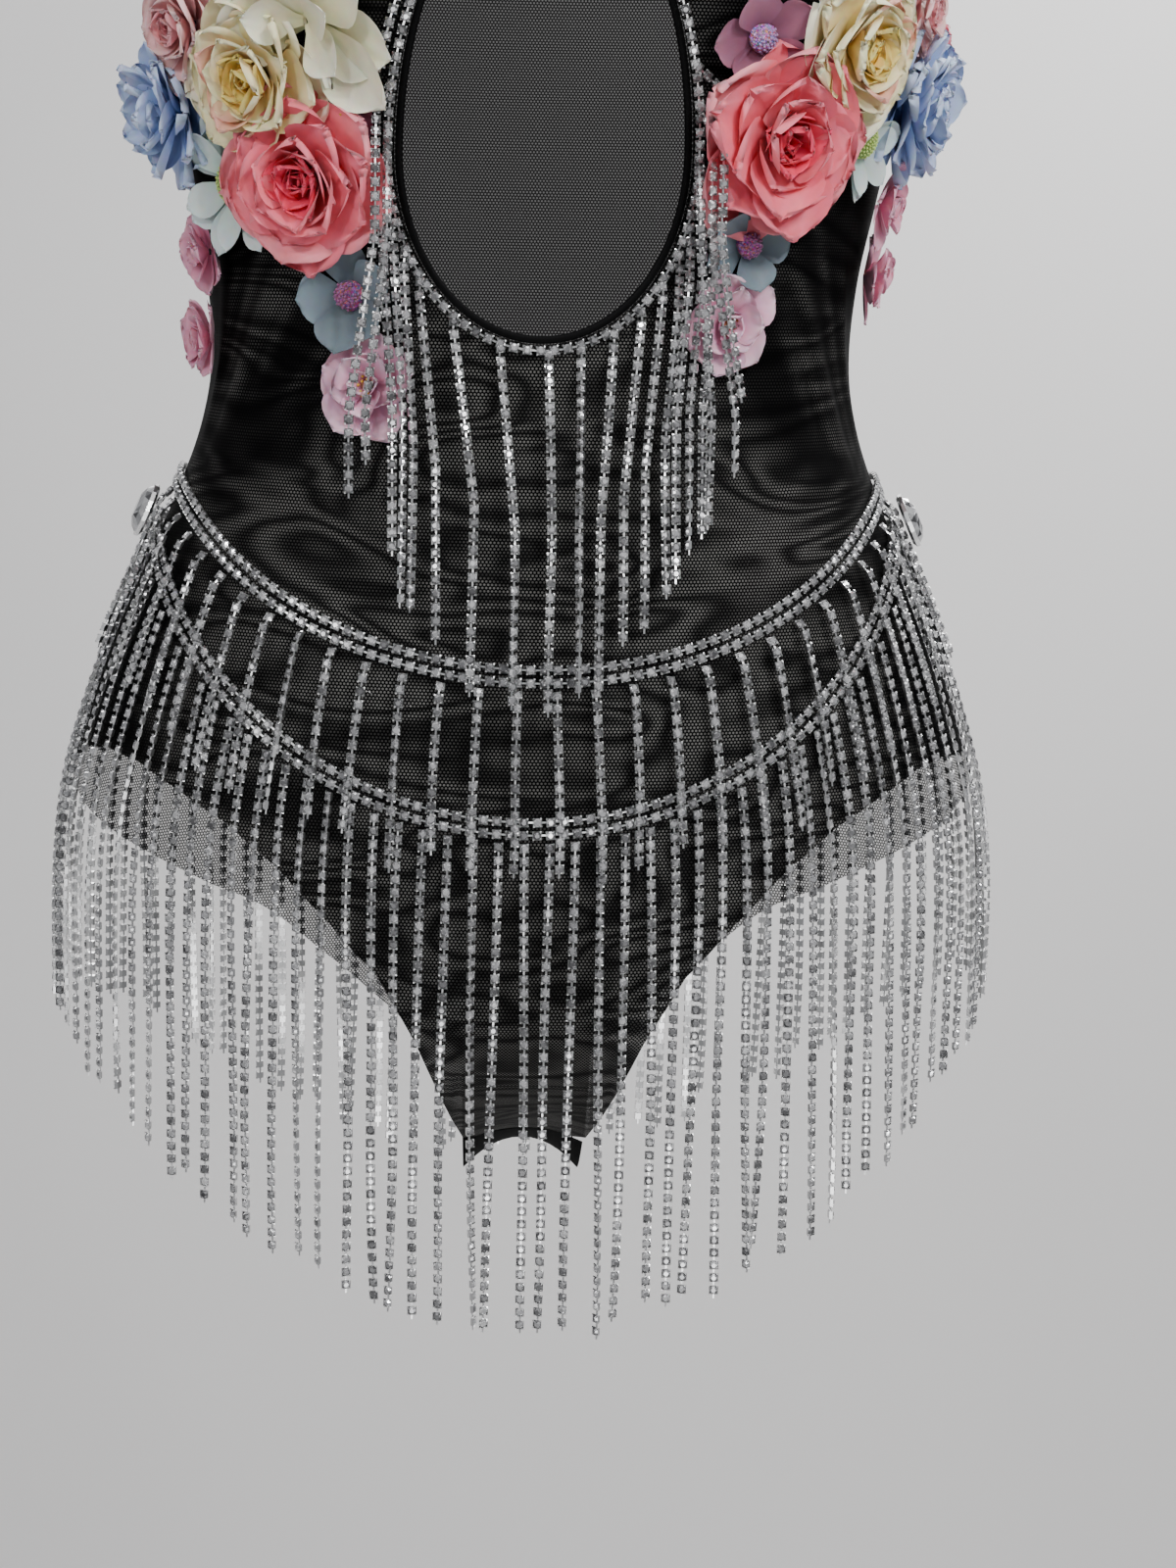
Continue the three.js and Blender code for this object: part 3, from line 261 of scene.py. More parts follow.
def surface(t, s, lift=0.0):
    """The cloth with its folds, raised by lift."""
    rise = ridges(FOLDS, np.asarray(t, float), section(s), both_sides=True)
    return bare(t, s) + outward(t, s) * (np.asarray(lift) + rise)[..., None]


def run_along(points):
    """Distance travelled up to each point of a path."""
    return np.concatenate([[0], np.cumsum(np.linalg.norm(np.diff(points, axis=0), axis=1))])


def at_marks(marks, run, values):
    """Values given along a run, read off at the marks."""
    return np.stack([np.interp(marks, run, values[:, k]) for k in range(3)], -1)


# ------------------------------------------------------------------ mesh making
def to_metres(points):
    out = np.array(points, float)
    out[..., 2] -= STRAP_TOP
    return out * MM


def make_mesh(name, points, faces, materials, index=None, uv=None, smooth=True, colour=None, glint_tones=None):
    """points in mm; faces a list of index lists; uv one pair a point, in metres."""
    mesh = bpy.data.meshes.new(name)
    mesh.from_pydata(to_metres(points).tolist(), [], [list(map(int, f)) for f in faces])
    for material in materials:
        mesh.materials.append(material)
    count = len(mesh.polygons)
    if index is not None:
        mesh.polygons.foreach_set("material_index", np.asarray(index, dtype=np.int32))
    mesh.polygons.foreach_set("use_smooth", np.full(count, smooth))
    if uv is not None:
        loops = np.zeros(len(mesh.loops), dtype=np.int32)
        mesh.loops.foreach_get("vertex_index", loops)
        layer = mesh.uv_layers.new(name="metres")
        layer.data.foreach_set("uv", np.asarray(uv, float)[loops].ravel())
    if colour is not None:
        layer = mesh.attributes.new("tint", "FLOAT_COLOR", "POINT")
        rgba = np.ones((len(points), 4))
        rgba[:, :3] = colour
        layer.data.foreach_set("color", rgba.ravel())
    # a brightness for each face, painted on the stones as glints of reflected light
    if glint_tones is not None:
        layer = mesh.attributes.new("tone_and_glint", "FLOAT", "FACE")
        layer.data.foreach_set("value", np.asarray(glint_tones, dtype=np.float32))
    mesh.update()
    obj = bpy.data.objects.new(name, mesh)
    COLLECTION.objects.link(obj)
    return obj


def grid_faces(rows, wide, base=0, flip=False):
    """Squares between the points of a grid that is wide points across."""
    faces = []
    for i in range(rows - 1):
        for j in range(wide - 1):
            k = base + i * wide + j
            quad = [k, k + 1, k + wide + 1, k + wide]
            faces.append(quad[::-1] if flip else quad)
    return faces


def finish_piece(obj, node):
    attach(obj, "root")
    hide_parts(node)


def deselect():
    if bpy.context.object and bpy.context.object.mode != "OBJECT":
        bpy.ops.object.mode_set(mode="OBJECT")
    for obj in bpy.context.scene.objects:
        obj.select_set(False)
    bpy.context.view_layer.objects.active = None


# ------------------------------------------------------------------ materials
def new_material(name):
    material = bpy.data.materials.new(name)
    material.use_nodes = True
    tree = material.node_tree
    return material, tree, tree.nodes["Principled BSDF"]


def fill(tree, node, inputs):
    """Sets a node's inputs: numbers and colours as they are, other nodes' outputs as links."""
    for key, value in inputs.items():
        socket = node.inputs[key if isinstance(key, int) else key.replace("_", " ")]
        if isinstance(value, bpy.types.NodeSocket):
            tree.links.new(value, socket)
        else:
            socket.default_value = value


def add_node(tree, kind, settings=(), **inputs):
    node = tree.nodes.new("ShaderNode" + kind)
    for key, value in dict(settings).items():
        setattr(node, key, value)
    fill(tree, node, inputs)
    return node


def math_node(tree, operation, *values):
    node = add_node(tree, "Math", dict(operation=operation))
    fill(tree, node, dict(enumerate(values)))
    return node.outputs[0]


def tinted(tree, blend, factor, speckle):
    """The mesh's own tint, broken up by a speckle."""
    tint = add_node(tree, "Attribute", dict(attribute_name="tint"))
    mix = add_node(tree, "Mix", dict(data_type="RGBA", blend_type=blend), Factor=factor,
                   A=tint.outputs["Color"], B=speckle)
    return mix.outputs["Result"]


def plain(name, colour, roughness=0.6, metallic=0.0, **extra):
    material, tree, shader = new_material(name)
    fill(tree, shader, dict(Base_Color=(*colour, 1), Roughness=roughness, Metallic=metallic, **extra))
    return material


NET_PITCH = 0.00133             # from hole to hole in the net, in metres
NET_ROWS = math.sqrt(3)         # pitch of the rows of holes, which are staggered
HOLE = 0.30                     # hole radius as a part of the pitch
HOLE_EDGE = 7.0                 # how sharply a hole ends
SWIRLS = (9.0, 30.0, 1.0)       # swirls of open holes and the painted light in them, to a metre, round and up the body
SWIRL_BANDS = 60.0
SWIRL_MIDDLE, SWIRL_DEPTH = 0.58, 0.42
NET_BLACK = (0.0006, 0.0006, 0.0008, 1)
# painted light: the grey that the holes show as light seen through them, on the double front and on the
# single back
HOLE_LIGHT_DOUBLE, HOLE_LIGHT_SINGLE = (0.135, 0.131, 0.125, 1), (0.09, 0.09, 0.092, 1)


def net_material(name, double):
    """Black power net with staggered pin holes, painted grey in the holes as light seen through them.
    The front is laid double: where the holes of the two layers meet they show this painted light in slow
    swirls, and elsewhere the net closes up."""
    material, tree, shader = new_material(name)

    def calc(operation, *values):
        return math_node(tree, operation, *values)

    uv = add_node(tree, "UVMap", dict(uv_map="metres")).outputs["UV"]
    split = add_node(tree, "SeparateXYZ", Vector=uv).outputs
    x = calc("DIVIDE", split["X"], NET_PITCH)
    y = calc("DIVIDE", split["Y"], NET_PITCH * NET_ROWS)

    def to_hole(shift):
        """Distance to the nearest hole in every second row."""
        dx = calc("SUBTRACT", calc("FRACT", calc("ADD", x, shift)), 0.5)
        dy = calc("SUBTRACT", calc("FRACT", calc("ADD", y, shift)), 0.5)
        dy = calc("MULTIPLY", dy, NET_ROWS)
        return calc("SQRT", calc("ADD", calc("MULTIPLY", dx, dx), calc("MULTIPLY", dy, dy)))

    near = calc("MINIMUM", to_hole(0.0), to_hole(0.5))
    hole = calc("ADD", calc("MULTIPLY", calc("SUBTRACT", HOLE, near), HOLE_EDGE), 0.5)
    hole = calc("MINIMUM", calc("MAXIMUM", hole, 0.0), 1.0)
    # how far the net is drawn open, kept in the tint attribute: it sets how much the holes let through and
    # how much painted light they show
    stretch = add_node(tree, "Attribute", dict(attribute_name="tint"))
    open_by = add_node(tree, "SeparateColor", Color=stretch.outputs["Color"]).outputs["Red"]
    drawn = add_node(tree, "VectorMath", dict(operation="MULTIPLY"))
    fill(tree, drawn, {0: uv, 1: SWIRLS})
    noise = add_node(tree, "TexNoise", Vector=drawn.outputs["Vector"], Scale=1.0, Detail=1.5,
                     Distortion=0.6)
    wave = calc("SINE", calc("MULTIPLY", noise.outputs["Fac"], SWIRL_BANDS))
    swirl = calc("ADD", SWIRL_MIDDLE, calc("MULTIPLY", wave, SWIRL_DEPTH))
    shown = calc("MULTIPLY", calc("MULTIPLY", hole, open_by), swirl if double else 1.0)
    # the holes are painted grey as light seen through them, more where the net is drawn open and, on the
    # double front, in swirls; between them is the net's own black
    shade = add_node(tree, "Mix", dict(data_type="RGBA"), Factor=shown, A=NET_BLACK,
                     B=HOLE_LIGHT_DOUBLE if double else HOLE_LIGHT_SINGLE)
    through = calc("MULTIPLY", shown, 0.10 if double else 0.50)
    if not double:
        through = calc("ADD", through, calc("MULTIPLY", open_by, 0.06))
    bump = add_node(tree, "Bump", Strength=0.3, Distance=0.0003, Height=near)
    fill(tree, shader, dict(
        Base_Color=shade.outputs["Result"], Alpha=calc("SUBTRACT", 1.0, through),
        Roughness=0.6, Specular_IOR_Level=0.03, Normal=bump.outputs["Normal"]))
    return material


def stone_material():
    """Clear stone over foil, with painted reflections: each face is painted its own brightness, from dark to
    a white glint.
    """
    material, tree, shader = new_material("clear_stone_painted_glints")
    tone_and_glint = add_node(tree, "Attribute", dict(attribute_name="tone_and_glint"))
    ramp = add_node(tree, "ValToRGB", Fac=tone_and_glint.outputs["Fac"])
    # the ramp paints each face from a dark to a white reflection
    stops = ramp.color_ramp.elements
    stops[0].position, stops[0].color = 0.0, (0.10, 0.10, 0.105, 1)
    stops[1].position, stops[1].color = 1.0, (1.0, 1.0, 1.0, 1)
    for position, level in ((0.35, 0.34), (0.65, 0.66)):
        stop = stops.new(position)
        stop.color = (level, level, level * 1.02, 1)
    fill(tree, shader, dict(Base_Color=ramp.outputs["Color"], Metallic=0.7, Roughness=0.18))
    return material


def petal_material():
    """Printed silk: each petal's own shades, a fine mottle and a little sheen."""
    material, tree, shader = new_material("silk_petal")
    place = add_node(tree, "TexCoord").outputs["Object"]
    noise = add_node(tree, "TexNoise", Vector=place, Scale=260.0, Detail=3.0).outputs
    bump = add_node(tree, "Bump", Strength=0.25, Distance=0.0006, Height=noise["Fac"])
    fill(tree, shader, dict(
        Base_Color=tinted(tree, "MULTIPLY", 0.22, noise["Color"]), Normal=bump.outputs["Normal"],
        Roughness=0.62, Sheen_Weight=0.15, Subsurface_Weight=0.18, Subsurface_Scale=0.004))
    return material


def glitter_material():
    """Loose glitter glued over a flower's heart."""
    material, tree, shader = new_material("glitter")
    place = add_node(tree, "TexCoord").outputs["Object"]
    cells = add_node(tree, "TexVoronoi", Vector=place, Scale=1400.0).outputs
    bump = add_node(tree, "Bump", Strength=0.8, Distance=0.0008, Height=cells["Distance"])
    fill(tree, shader, dict(
        Base_Color=tinted(tree, "OVERLAY", 0.75, cells["Color"]), Normal=bump.outputs["Normal"],
        Roughness=0.35, Metallic=0.3))
    return material


NET = net_material("power_net_double", True)
BACK_NET = net_material("power_net", False)
LINING = plain("lining_knit", (0.0008, 0.0008, 0.001), 0.8, Specular_IOR_Level=0.03)
BINDING = plain("elastic_binding", (0.0012, 0.0012, 0.0014), 0.55, Specular_IOR_Level=0.08)
CUP = plain("silver_cup", (0.9, 0.9, 0.9), 0.28, 1.0)
STONE = stone_material()
PETAL = petal_material()
GLITTER = glitter_material()


# ------------------------------------------------------------------ panels of net
def angle_of(x, s):
    return math.degrees(math.asin(min(max(x / float(section(s)[1]), -1), 1)))


def keyhole_point(angle):
    """Distance aside and height of the keyhole's edge, at an angle from its lowest point."""
    widest = KEYHOLE["widest"]
    rise = widest - KEYHOLE["bottom"] if angle < 90 else KEYHOLE["top"] - widest
    a = math.radians(angle)
    return KEYHOLE["half"] * math.sin(a), widest - rise * math.cos(a)


def neck_half(h, neck):
    bottom, straight = neck
    if h <= bottom:
        return 0.0
    if h >= straight:
        return STRAP_INNER
    return STRAP_INNER * math.sqrt(1 - ((straight - h) / (straight - bottom)) ** 2)


def armhole_angle(h, s):
    bottom, straight = ARMHOLE
    if h <= bottom:
        return 90.0
    strap = angle_of(STRAP_OUTER, s)
    g = min(max((h - bottom) / (straight - bottom), 0), 1)
    return strap + (90 - strap) * (1 - math.sqrt(1 - (1 - g) ** 2))


def row_at(h, inner=0.0, edge=None):
    """A row of a panel's grid, from its inner to its outer edge at height h."""
    s = float(TOP) if h >= SECTIONS[TOP, 0] else float(station(h))
    return dict(h=h, s=s, inner=angle_of(inner, s), outer=armhole_angle(h, s), edge=edge)


ARM_LEVELS = [190, 192, 195, 199, 204, 209, 214, 219, 224, 228]


def neck_rows(neck, steps, top):
    bottom, straight = neck
    levels = [straight - (straight - bottom) * math.cos(math.pi / 2 * i / steps) for i in range(steps + 1)]
    return [row_at(h, neck_half(h, neck), "neck") for h in levels + top]


def front_rows():
    rows = [row_at(h) for h in np.linspace(-116.5, 4.5, 36)]
    for i in range(49):
        x, h = keyhole_point(180 * i / 48)
        rows.append(row_at(h, x, "keyhole"))
    rows += [row_at(h) for h in (172, 176.5, 181, 185)] + [row_at(h) for h in ARM_LEVELS]
    return rows + neck_rows(FRONT_NECK, 24, [337, 344, 350, 355, 360, 363, 365])


def back_rows():
    rows = [row_at(h) for h in np.linspace(-116.5, 186, 84)] + [row_at(h) for h in ARM_LEVELS]
    rows += [row_at(h) for h in np.linspace(233, 290, 14)]
    return rows + neck_rows(BACK_NECK, 12, [347, 352, 357, 361, 363, 365])


FRONT_ROWS, BACK_ROWS = front_rows(), back_rows()


def edge_frames(line):
    t, s = np.array(line, float).T
    points, normal = surface(t, s), outward(t, s)
    along = unit(np.roll(points, -1, 0) - np.roll(points, 1, 0))
    return dict(t=t, s=s, p=points, n=normal, across=unit(np.cross(normal, along)))


def edge_lines():
    hole = [(r["inner"], r["s"]) for r in FRONT_ROWS if r["edge"] == "keyhole"]
    keyhole = hole + [(-t, s) for t, s in hole[1:-1]][::-1]
    front = [r for r in FRONT_ROWS if r["edge"] == "neck"]
    back = [r for r in BACK_ROWS if r["edge"] == "neck"]

    def half(sign):
        return ([(sign * r["inner"], r["s"]) for r in front[1:]]
                + [(sign * (180 - r["inner"]), r["s"]) for r in back[1:-1][::-1]])

    neck = [(0, front[0]["s"])] + half(1) + [(180, back[0]["s"])] + half(-1)[::-1]
    arm_front = [r for r in FRONT_ROWS if r["h"] >= ARMHOLE[0]]
    arm_back = [r for r in BACK_ROWS if r["h"] > ARMHOLE[0]]
    arm = ([(r["outer"], r["s"]) for r in arm_front]
           + [(180 - r["outer"], r["s"]) for r in arm_back[:-1][::-1]])
    lines = dict(keyhole=keyhole, neck=neck, armhole_r=arm, armhole_l=[(-t, s) for t, s in arm][::-1])
    return {name: edge_frames(line) for name, line in lines.items()}


EDGES = edge_lines()
CLOTH_SIDE = dict(keyhole=-1, neck=-1, armhole_r=1, armhole_l=1)


def cut_row(row, is_back):
    """A row as the panel is cut, back from its bound edges: station, inner and outer angle."""
    s, inner, outer = row["s"], row["inner"], row["outer"]
    if s >= TOP:
        return s, angle_of(STRAP_INNER + CUT_BACK, s), angle_of(STRAP_OUTER - CUT_BACK, s)

    def offset(edge, angle):
        line = EDGES[edge]
        t = 180 - angle if is_back else angle
        miss = np.abs(np.sin(np.radians((line["t"] - t) / 2))) * 100 + np.abs(line["s"] - row["s"])
        k = int(np.argmin(miss))
        return line["p"][k] + line["across"][k] * CLOTH_SIDE[edge] * CUT_BACK

    if row["edge"]:
        p = offset(row["edge"], inner)
        s = float(station(p[2], p[0]))
        inner = angle_of(abs(p[0]), s)
    if row["h"] >= ARMHOLE[0]:
        p = offset("armhole_r", outer)
        if not row["edge"]:
            s = float(station(p[2], p[0]))
        outer = 90.0 if row["h"] == ARMHOLE[0] else angle_of(abs(p[0]), s)
    return s, inner, outer


PROFILE_ANGLE = 35.0
PROFILE_STATIONS = np.linspace(0, TOP, 600)
PROFILE_LENGTH = run_along(bare(PROFILE_ANGLE, PROFILE_STATIONS))
FOOT = 2.012                    # the station where the panels and the lining end at the gusset
LEG_ROWS = 48
STRIP_POINTS = 13               # points across the gusset and the lining
LINING_TOP, LINING_INSIDE = -98.0, 1.3


def cloth_uv(t, s, from_angle=0.0):
    """Distance round from the centre line and up the body, in metres."""
    steps = 25
    shares = np.linspace(0, 1, steps)[:, None]
    line = bare(from_angle + (t - from_angle) * shares, np.broadcast_to(s, (steps, len(s))))
    girth = np.linalg.norm(np.diff(line, axis=0), axis=-1).sum(0) * np.sign(t - from_angle)
    return np.stack([girth, np.interp(s, PROFILE_STATIONS, PROFILE_LENGTH)], -1) * MM


def openness(t, sec, crease, is_back):
    """How far the net is drawn open: at the front in the middle and along the creases, at the
    back below the upper belt. It sets how much the holes let through and how much painted light they show, so
    these places look lighter."""
    if is_back:
        return 0.22 + 1.1 * np.clip((-85 - sec[..., LEVEL]) / 50, 0, 1)
    reach = np.interp(sec[..., LEVEL], [-60, 0, 120], [64, 36, 28])
    drawn = np.clip((reach - np.abs(t)) / 14, 0, 1)
    return np.clip(0.10 + 0.85 * drawn + (1.0 - 0.6 * drawn) * crease, 0.05, 1.3)


def panel(name, rows, columns, is_back, node):
    """The front or the back, cut as one grid a side and joined down the middle."""
    shares = np.linspace(0, 1, columns + 1)
    hip = float(station(HIP_LINE))
    grid = []
    for k in np.linspace(0, 1, LEG_ROWS):
        a = shares * 90
        leg = station(np.interp(np.maximum(a, CROTCH_ANGLE), LEG_ANGLE, LEG_BACK if is_back else LEG_FRONT))
        low = np.where(a <= CROTCH_ANGLE, FOOT, leg)
        grid.append((a, low + (hip - low) * k))
    for row in rows:
        s, inner, outer = cut_row(row, is_back)
        grid.append((inner + (outer - inner) * shares, np.full(columns + 1, s)))
    angles = np.array([g[0] for g in grid])
    stations = np.array([g[1] for g in grid])
    sec = section(stations)
    points, uvs, tints, faces = [], [], [], []
    for sign in (1, -1):
        t = sign * (180 - angles if is_back else angles)
        crease = ridges(CREASES, t, sec)
        fold = ridges(FOLDS, t, sec, both_sides=True)
        place = bare(t, stations) + outward(t, stations) * (fold + crease - 0.15)[..., None]
        faces += grid_faces(len(grid), columns + 1, sum(len(p) for p in points), (sign < 0) != is_back)
        points.append(place.reshape(-1, 3))
        uvs.append(cloth_uv(t.ravel(), stations.ravel(), 180.0 * sign if is_back else 0.0))
        # the openness is kept in the tint attribute, where the net's shader reads it for real see-through and
        # for painted light in the holes
        open_by = openness(t, sec, crease, is_back)
        tints.append(np.stack([open_by] * 3, -1).reshape(-1, 3))
    obj = make_mesh(name, np.concatenate(points), faces, [BACK_NET if is_back else NET],
                    uv=np.concatenate(uvs), colour=np.concatenate(tints))
    deselect()
    obj.select_set(True)
    bpy.context.view_layer.objects.active = obj
    bpy.ops.object.mode_set(mode="EDIT")
    bpy.ops.mesh.select_all(action="SELECT")
    bpy.ops.mesh.remove_doubles(threshold=0.00002)
    bpy.ops.object.mode_set(mode="OBJECT")
    deselect()
    finish_piece(obj, node)


def lining():
    """The strip of knit down the centre front, inside the net."""
    across = np.linspace(-CROTCH_ANGLE, CROTCH_ANGLE, STRIP_POINTS)
    stations = np.linspace(FOOT, float(station(LINING_TOP)), 60)
    t, s = np.meshgrid(across, stations)
    place = bare(t, s) - outward(t, s) * LINING_INSIDE
    obj = make_mesh("front_lining_cloth", place.reshape(-1, 3), grid_faces(len(stations), STRIP_POINTS),
                    [LINING], uv=cloth_uv(t.ravel(), s.ravel()))
    finish_piece(obj, "front_lining")


def gusset():
    """The crotch piece, from the foot of the front under the body to the foot of the back."""
    rows, wide = 22, STRIP_POINTS
    mm_a_degree, mm_a_row = 3.06, 2.4
    across = np.linspace(-CROTCH_ANGLE, CROTCH_ANGLE, wide)
    depths = np.linspace(1.99, 0.1, rows)
    t = np.array([across] * rows + [180 - across] * rows)
    s = np.repeat(np.concatenate([depths, depths[::-1]]), wide).reshape(2 * rows, wide)
    place = bare(t, s)
    faces = [[k, k + wide, k + wide + 1, k + 1]
             for i in range(2 * rows - 1) for k in range(i * wide, i * wide + wide - 1)]
    uv = np.stack([np.tile(across * mm_a_degree, 2 * rows),
                   np.repeat(np.arange(2 * rows) * mm_a_row, wide)], -1) * MM
    obj = make_mesh("crotch_gusset_cloth", place.reshape(-1, 3), faces, [LINING], uv=uv)
    finish_piece(obj, "crotch_gusset")


def binding(node, edge):
    """A folded strip of elastic over the cut edge, rounded at both sides."""
    line = EDGES[edge]
    count, sides = len(line["t"]), 12
    side = CLOTH_SIDE[edge]
    ring = []
    for k in range(sides):
        a = 2 * math.pi * k / sides
        c, s = math.cos(a), math.sin(a)
        ring.append((BINDING_WIDTH / 2 * (1 + math.copysign(abs(c) ** 0.6, c)),
                     BINDING_THICK / 2 * math.copysign(abs(s) ** 0.7, s)))
    points = np.concatenate([
        line["p"] + line["across"] * side * x + line["n"] * z for x, z in ring
    ]).reshape(sides, count, 3).transpose(1, 0, 2).reshape(-1, 3)
    faces = []
    for i in range(count):
        j = (i + 1) % count
        for k in range(sides):
            m = (k + 1) % sides
            quad = [i * sides + k, i * sides + m, j * sides + m, j * sides + k]
            faces.append(quad if side < 0 else quad[::-1])
    obj = make_mesh(node + "_cloth", points, faces, [BINDING])
    finish_piece(obj, node)


# ------------------------------------------------------------------ cup chain
def read_unit(obj):
    """Takes a primitive's points and faces, and removes its object."""
    mesh = obj.data
    verts = np.array([v.co[:] for v in mesh.vertices])
    faces = [list(p.vertices) for p in mesh.polygons]
    bpy.data.objects.remove(obj)
    return verts, faces


def select_faces(test):
    """In edit mode: selects the faces that pass a test."""
    mesh = bpy.context.object.data
    bpy.ops.mesh.select_all(action="DESELECT")
    bpy.ops.mesh.select_mode(type="FACE")
    bpy.ops.object.mode_set(mode="OBJECT")
    for polygon in mesh.polygons:
        polygon.select = test(polygon)
    bpy.ops.object.mode_set(mode="EDIT")


def remove_faces(test):
    select_faces(test)
    bpy.ops.mesh.delete(type="FACE")


# sizes of one cup, its stone and its prongs, and of the link, which is shorter than the pitch
STONE_RADIUS, STONE_TALL, STONE_AT = 1.5, 0.9, 1.4
CUP_SIDE, CUP_TALL = 3.2, 1.2
PRONG_RADIUS, PRONG_TALL, PRONG_OUT, PRONG_AT, PRONG_LEAN = 0.4, 0.9, 1.22, 1.5, 0.45
LINK_WIDE, LINK_TALL, LINK_SHORTER = 0.6, 0.4, 2.7


def chain_unit():
    """One stone in its square cup with four prongs and the link to the next, facing +Z."""
    parts = []

    def keep(material):
        bpy.ops.object.mode_set(mode="OBJECT")
        bpy.ops.object.transform_apply(location=True, rotation=True, scale=True)
        parts.append((read_unit(bpy.context.object), material))

    deselect()
    bpy.ops.mesh.primitive_cylinder_add(vertices=8, radius=STONE_RADIUS, depth=STONE_TALL,
                                        location=(0, 0, STONE_AT), rotation=(0, 0, math.pi / 8))
    bpy.ops.object.mode_set(mode="EDIT")
    remove_faces(lambda p: p.normal.z < -0.9)
    select_faces(lambda p: p.normal.z > 0.9)
    bpy.ops.transform.resize(value=(0.55, 0.55, 1.0))
    keep(1)
    deselect()
    bpy.ops.mesh.primitive_cube_add(size=1.0, location=(0, 0, CUP_TALL / 2),
                                    scale=(CUP_SIDE, CUP_SIDE, CUP_TALL))
    bpy.ops.object.mode_set(mode="EDIT")
    remove_faces(lambda p: p.normal.z > 0.9)
    select_faces(lambda p: p.normal.z < -0.9)
    bpy.ops.transform.resize(value=(0.78, 0.78, 1.0))
    keep(0)
    for x, y in ((1, 1), (-1, 1), (-1, -1), (1, -1)):
        deselect()
        bpy.ops.mesh.primitive_cone_add(
            vertices=4, radius1=PRONG_RADIUS, radius2=0.0, depth=PRONG_TALL, end_fill_type="NOTHING",
            location=(x * PRONG_OUT, y * PRONG_OUT, PRONG_AT),
            rotation=(PRONG_LEAN * y, -PRONG_LEAN * x, math.pi / 4))
        bpy.ops.object.mode_set(mode="EDIT")
        keep(0)
    deselect()
    bpy.ops.mesh.primitive_cube_add(size=1.0, location=(0, -PITCH / 2, 0.5),
                                    scale=(LINK_WIDE, PITCH - LINK_SHORTER, LINK_TALL))
    bpy.ops.object.mode_set(mode="EDIT")
    remove_faces(lambda p: abs(p.normal.y) > 0.9)
    keep(0)
    verts, faces, index = [], [], []
    for (points, polygons), material in parts:
        base = sum(len(v) for v in verts)
        verts.append(points)
        faces += [[base + k for k in f] for f in polygons]
        index += [material] * len(polygons)
    deselect()
    return np.concatenate(verts), faces, index


UNIT_VERTS, UNIT_FACES, UNIT_INDEX = chain_unit()
UNIT_TOTALS = np.array([len(f) for f in UNIT_FACES])
UNIT_LOOPS = np.concatenate([np.array(f) for f in UNIT_FACES])


def chain_mesh(name, frames):
    """Every stone of a chain as one mesh. frames: (n, 4, 3) of side, up, out and place."""
    frames = np.asarray(frames)
    count, size = len(frames), len(UNIT_VERTS)
    points = np.einsum("vk,nkc->nvc", UNIT_VERTS, frames[:, :3]) + frames[:, 3][:, None, :]
    mesh = bpy.data.meshes.new(name)
    mesh.vertices.add(count * size)
    mesh.vertices.foreach_set("co", to_metres(points).ravel())
    loops = (UNIT_LOOPS[None] + (np.arange(count) * size)[:, None]).ravel()
    mesh.loops.add(len(loops))
    mesh.loops.foreach_set("vertex_index", loops.astype(np.int32))
    totals = np.tile(UNIT_TOTALS, count)
    mesh.polygons.add(len(totals))
    mesh.polygons.foreach_set("loop_start", (np.cumsum(totals) - totals).astype(np.int32))
    mesh.polygons.foreach_set("loop_total", totals.astype(np.int32))
    for material in (CUP, STONE):
        mesh.materials.append(material)
    mesh.polygons.foreach_set("material_index", np.tile(np.array(UNIT_INDEX, np.int32), count))
    mesh.polygons.foreach_set("use_smooth", np.zeros(len(totals), dtype=bool))
    mesh.update(calc_edges=True)
    layer = mesh.attributes.new("tone_and_glint", "FLOAT", "FACE")
    # painted glints: each stone is painted a brightness of its own, and its faces vary round it from dark to
    # white, as reflections
    dice = np.random.default_rng(5)
    tone_and_glint = np.repeat(dice.random(count), len(UNIT_TOTALS)) * 0.55 + dice.random(len(totals)) * 0.45
    layer.data.foreach_set("value", tone_and_glint.astype(np.float32))
    obj = bpy.data.objects.new(name, mesh)
    COLLECTION.objects.link(obj)
    return obj


def walk(path, start, length):
    """Points every pitch along a dense path, with the direction of travel."""
    run = run_along(path)
    marks = np.arange(start, min(length, run[-1]), PITCH)
    return at_marks(marks, run, path), unit(at_marks(marks + 1, run, path) - at_marks(marks - 1, run, path))


def stones_along(place, ahead, out, twist):
    """Frames of stones facing out, turned about the chain by twist (radians, one a stone)."""
    out = unit(out - (out * ahead).sum(-1, keepdims=True) * ahead)
    side = np.cross(-ahead, out)
    c, s = np.cos(twist)[:, None], np.sin(twist)[:, None]
    turned = out * c + side * s
    beside = side * c - out * s
    back = place - turned * (CHAIN_THICK / 2)
    return np.stack([beside, -ahead, turned, back], 1)


def belt_height(belt, t):
    """Height of a belt's middle, lower at centre front and back than at the sides."""
    sway = belt["skew"] * np.sin(np.radians(t))
    return belt["side"] + (belt["centre"] - belt["side"]) * np.cos(np.radians(t)) ** 2 + sway


def even_angles(belt):
    """The angles at which a belt's strands hang, the same distance apart along it."""
    t = -180 + 360 * np.arange(721) / 720
    run = run_along(surface(t, station(belt_height(belt, t))))
    marks = run[-1] * (np.arange(belt["strands"]) + 0.5) / belt["strands"]
    return np.interp(marks, run, t)


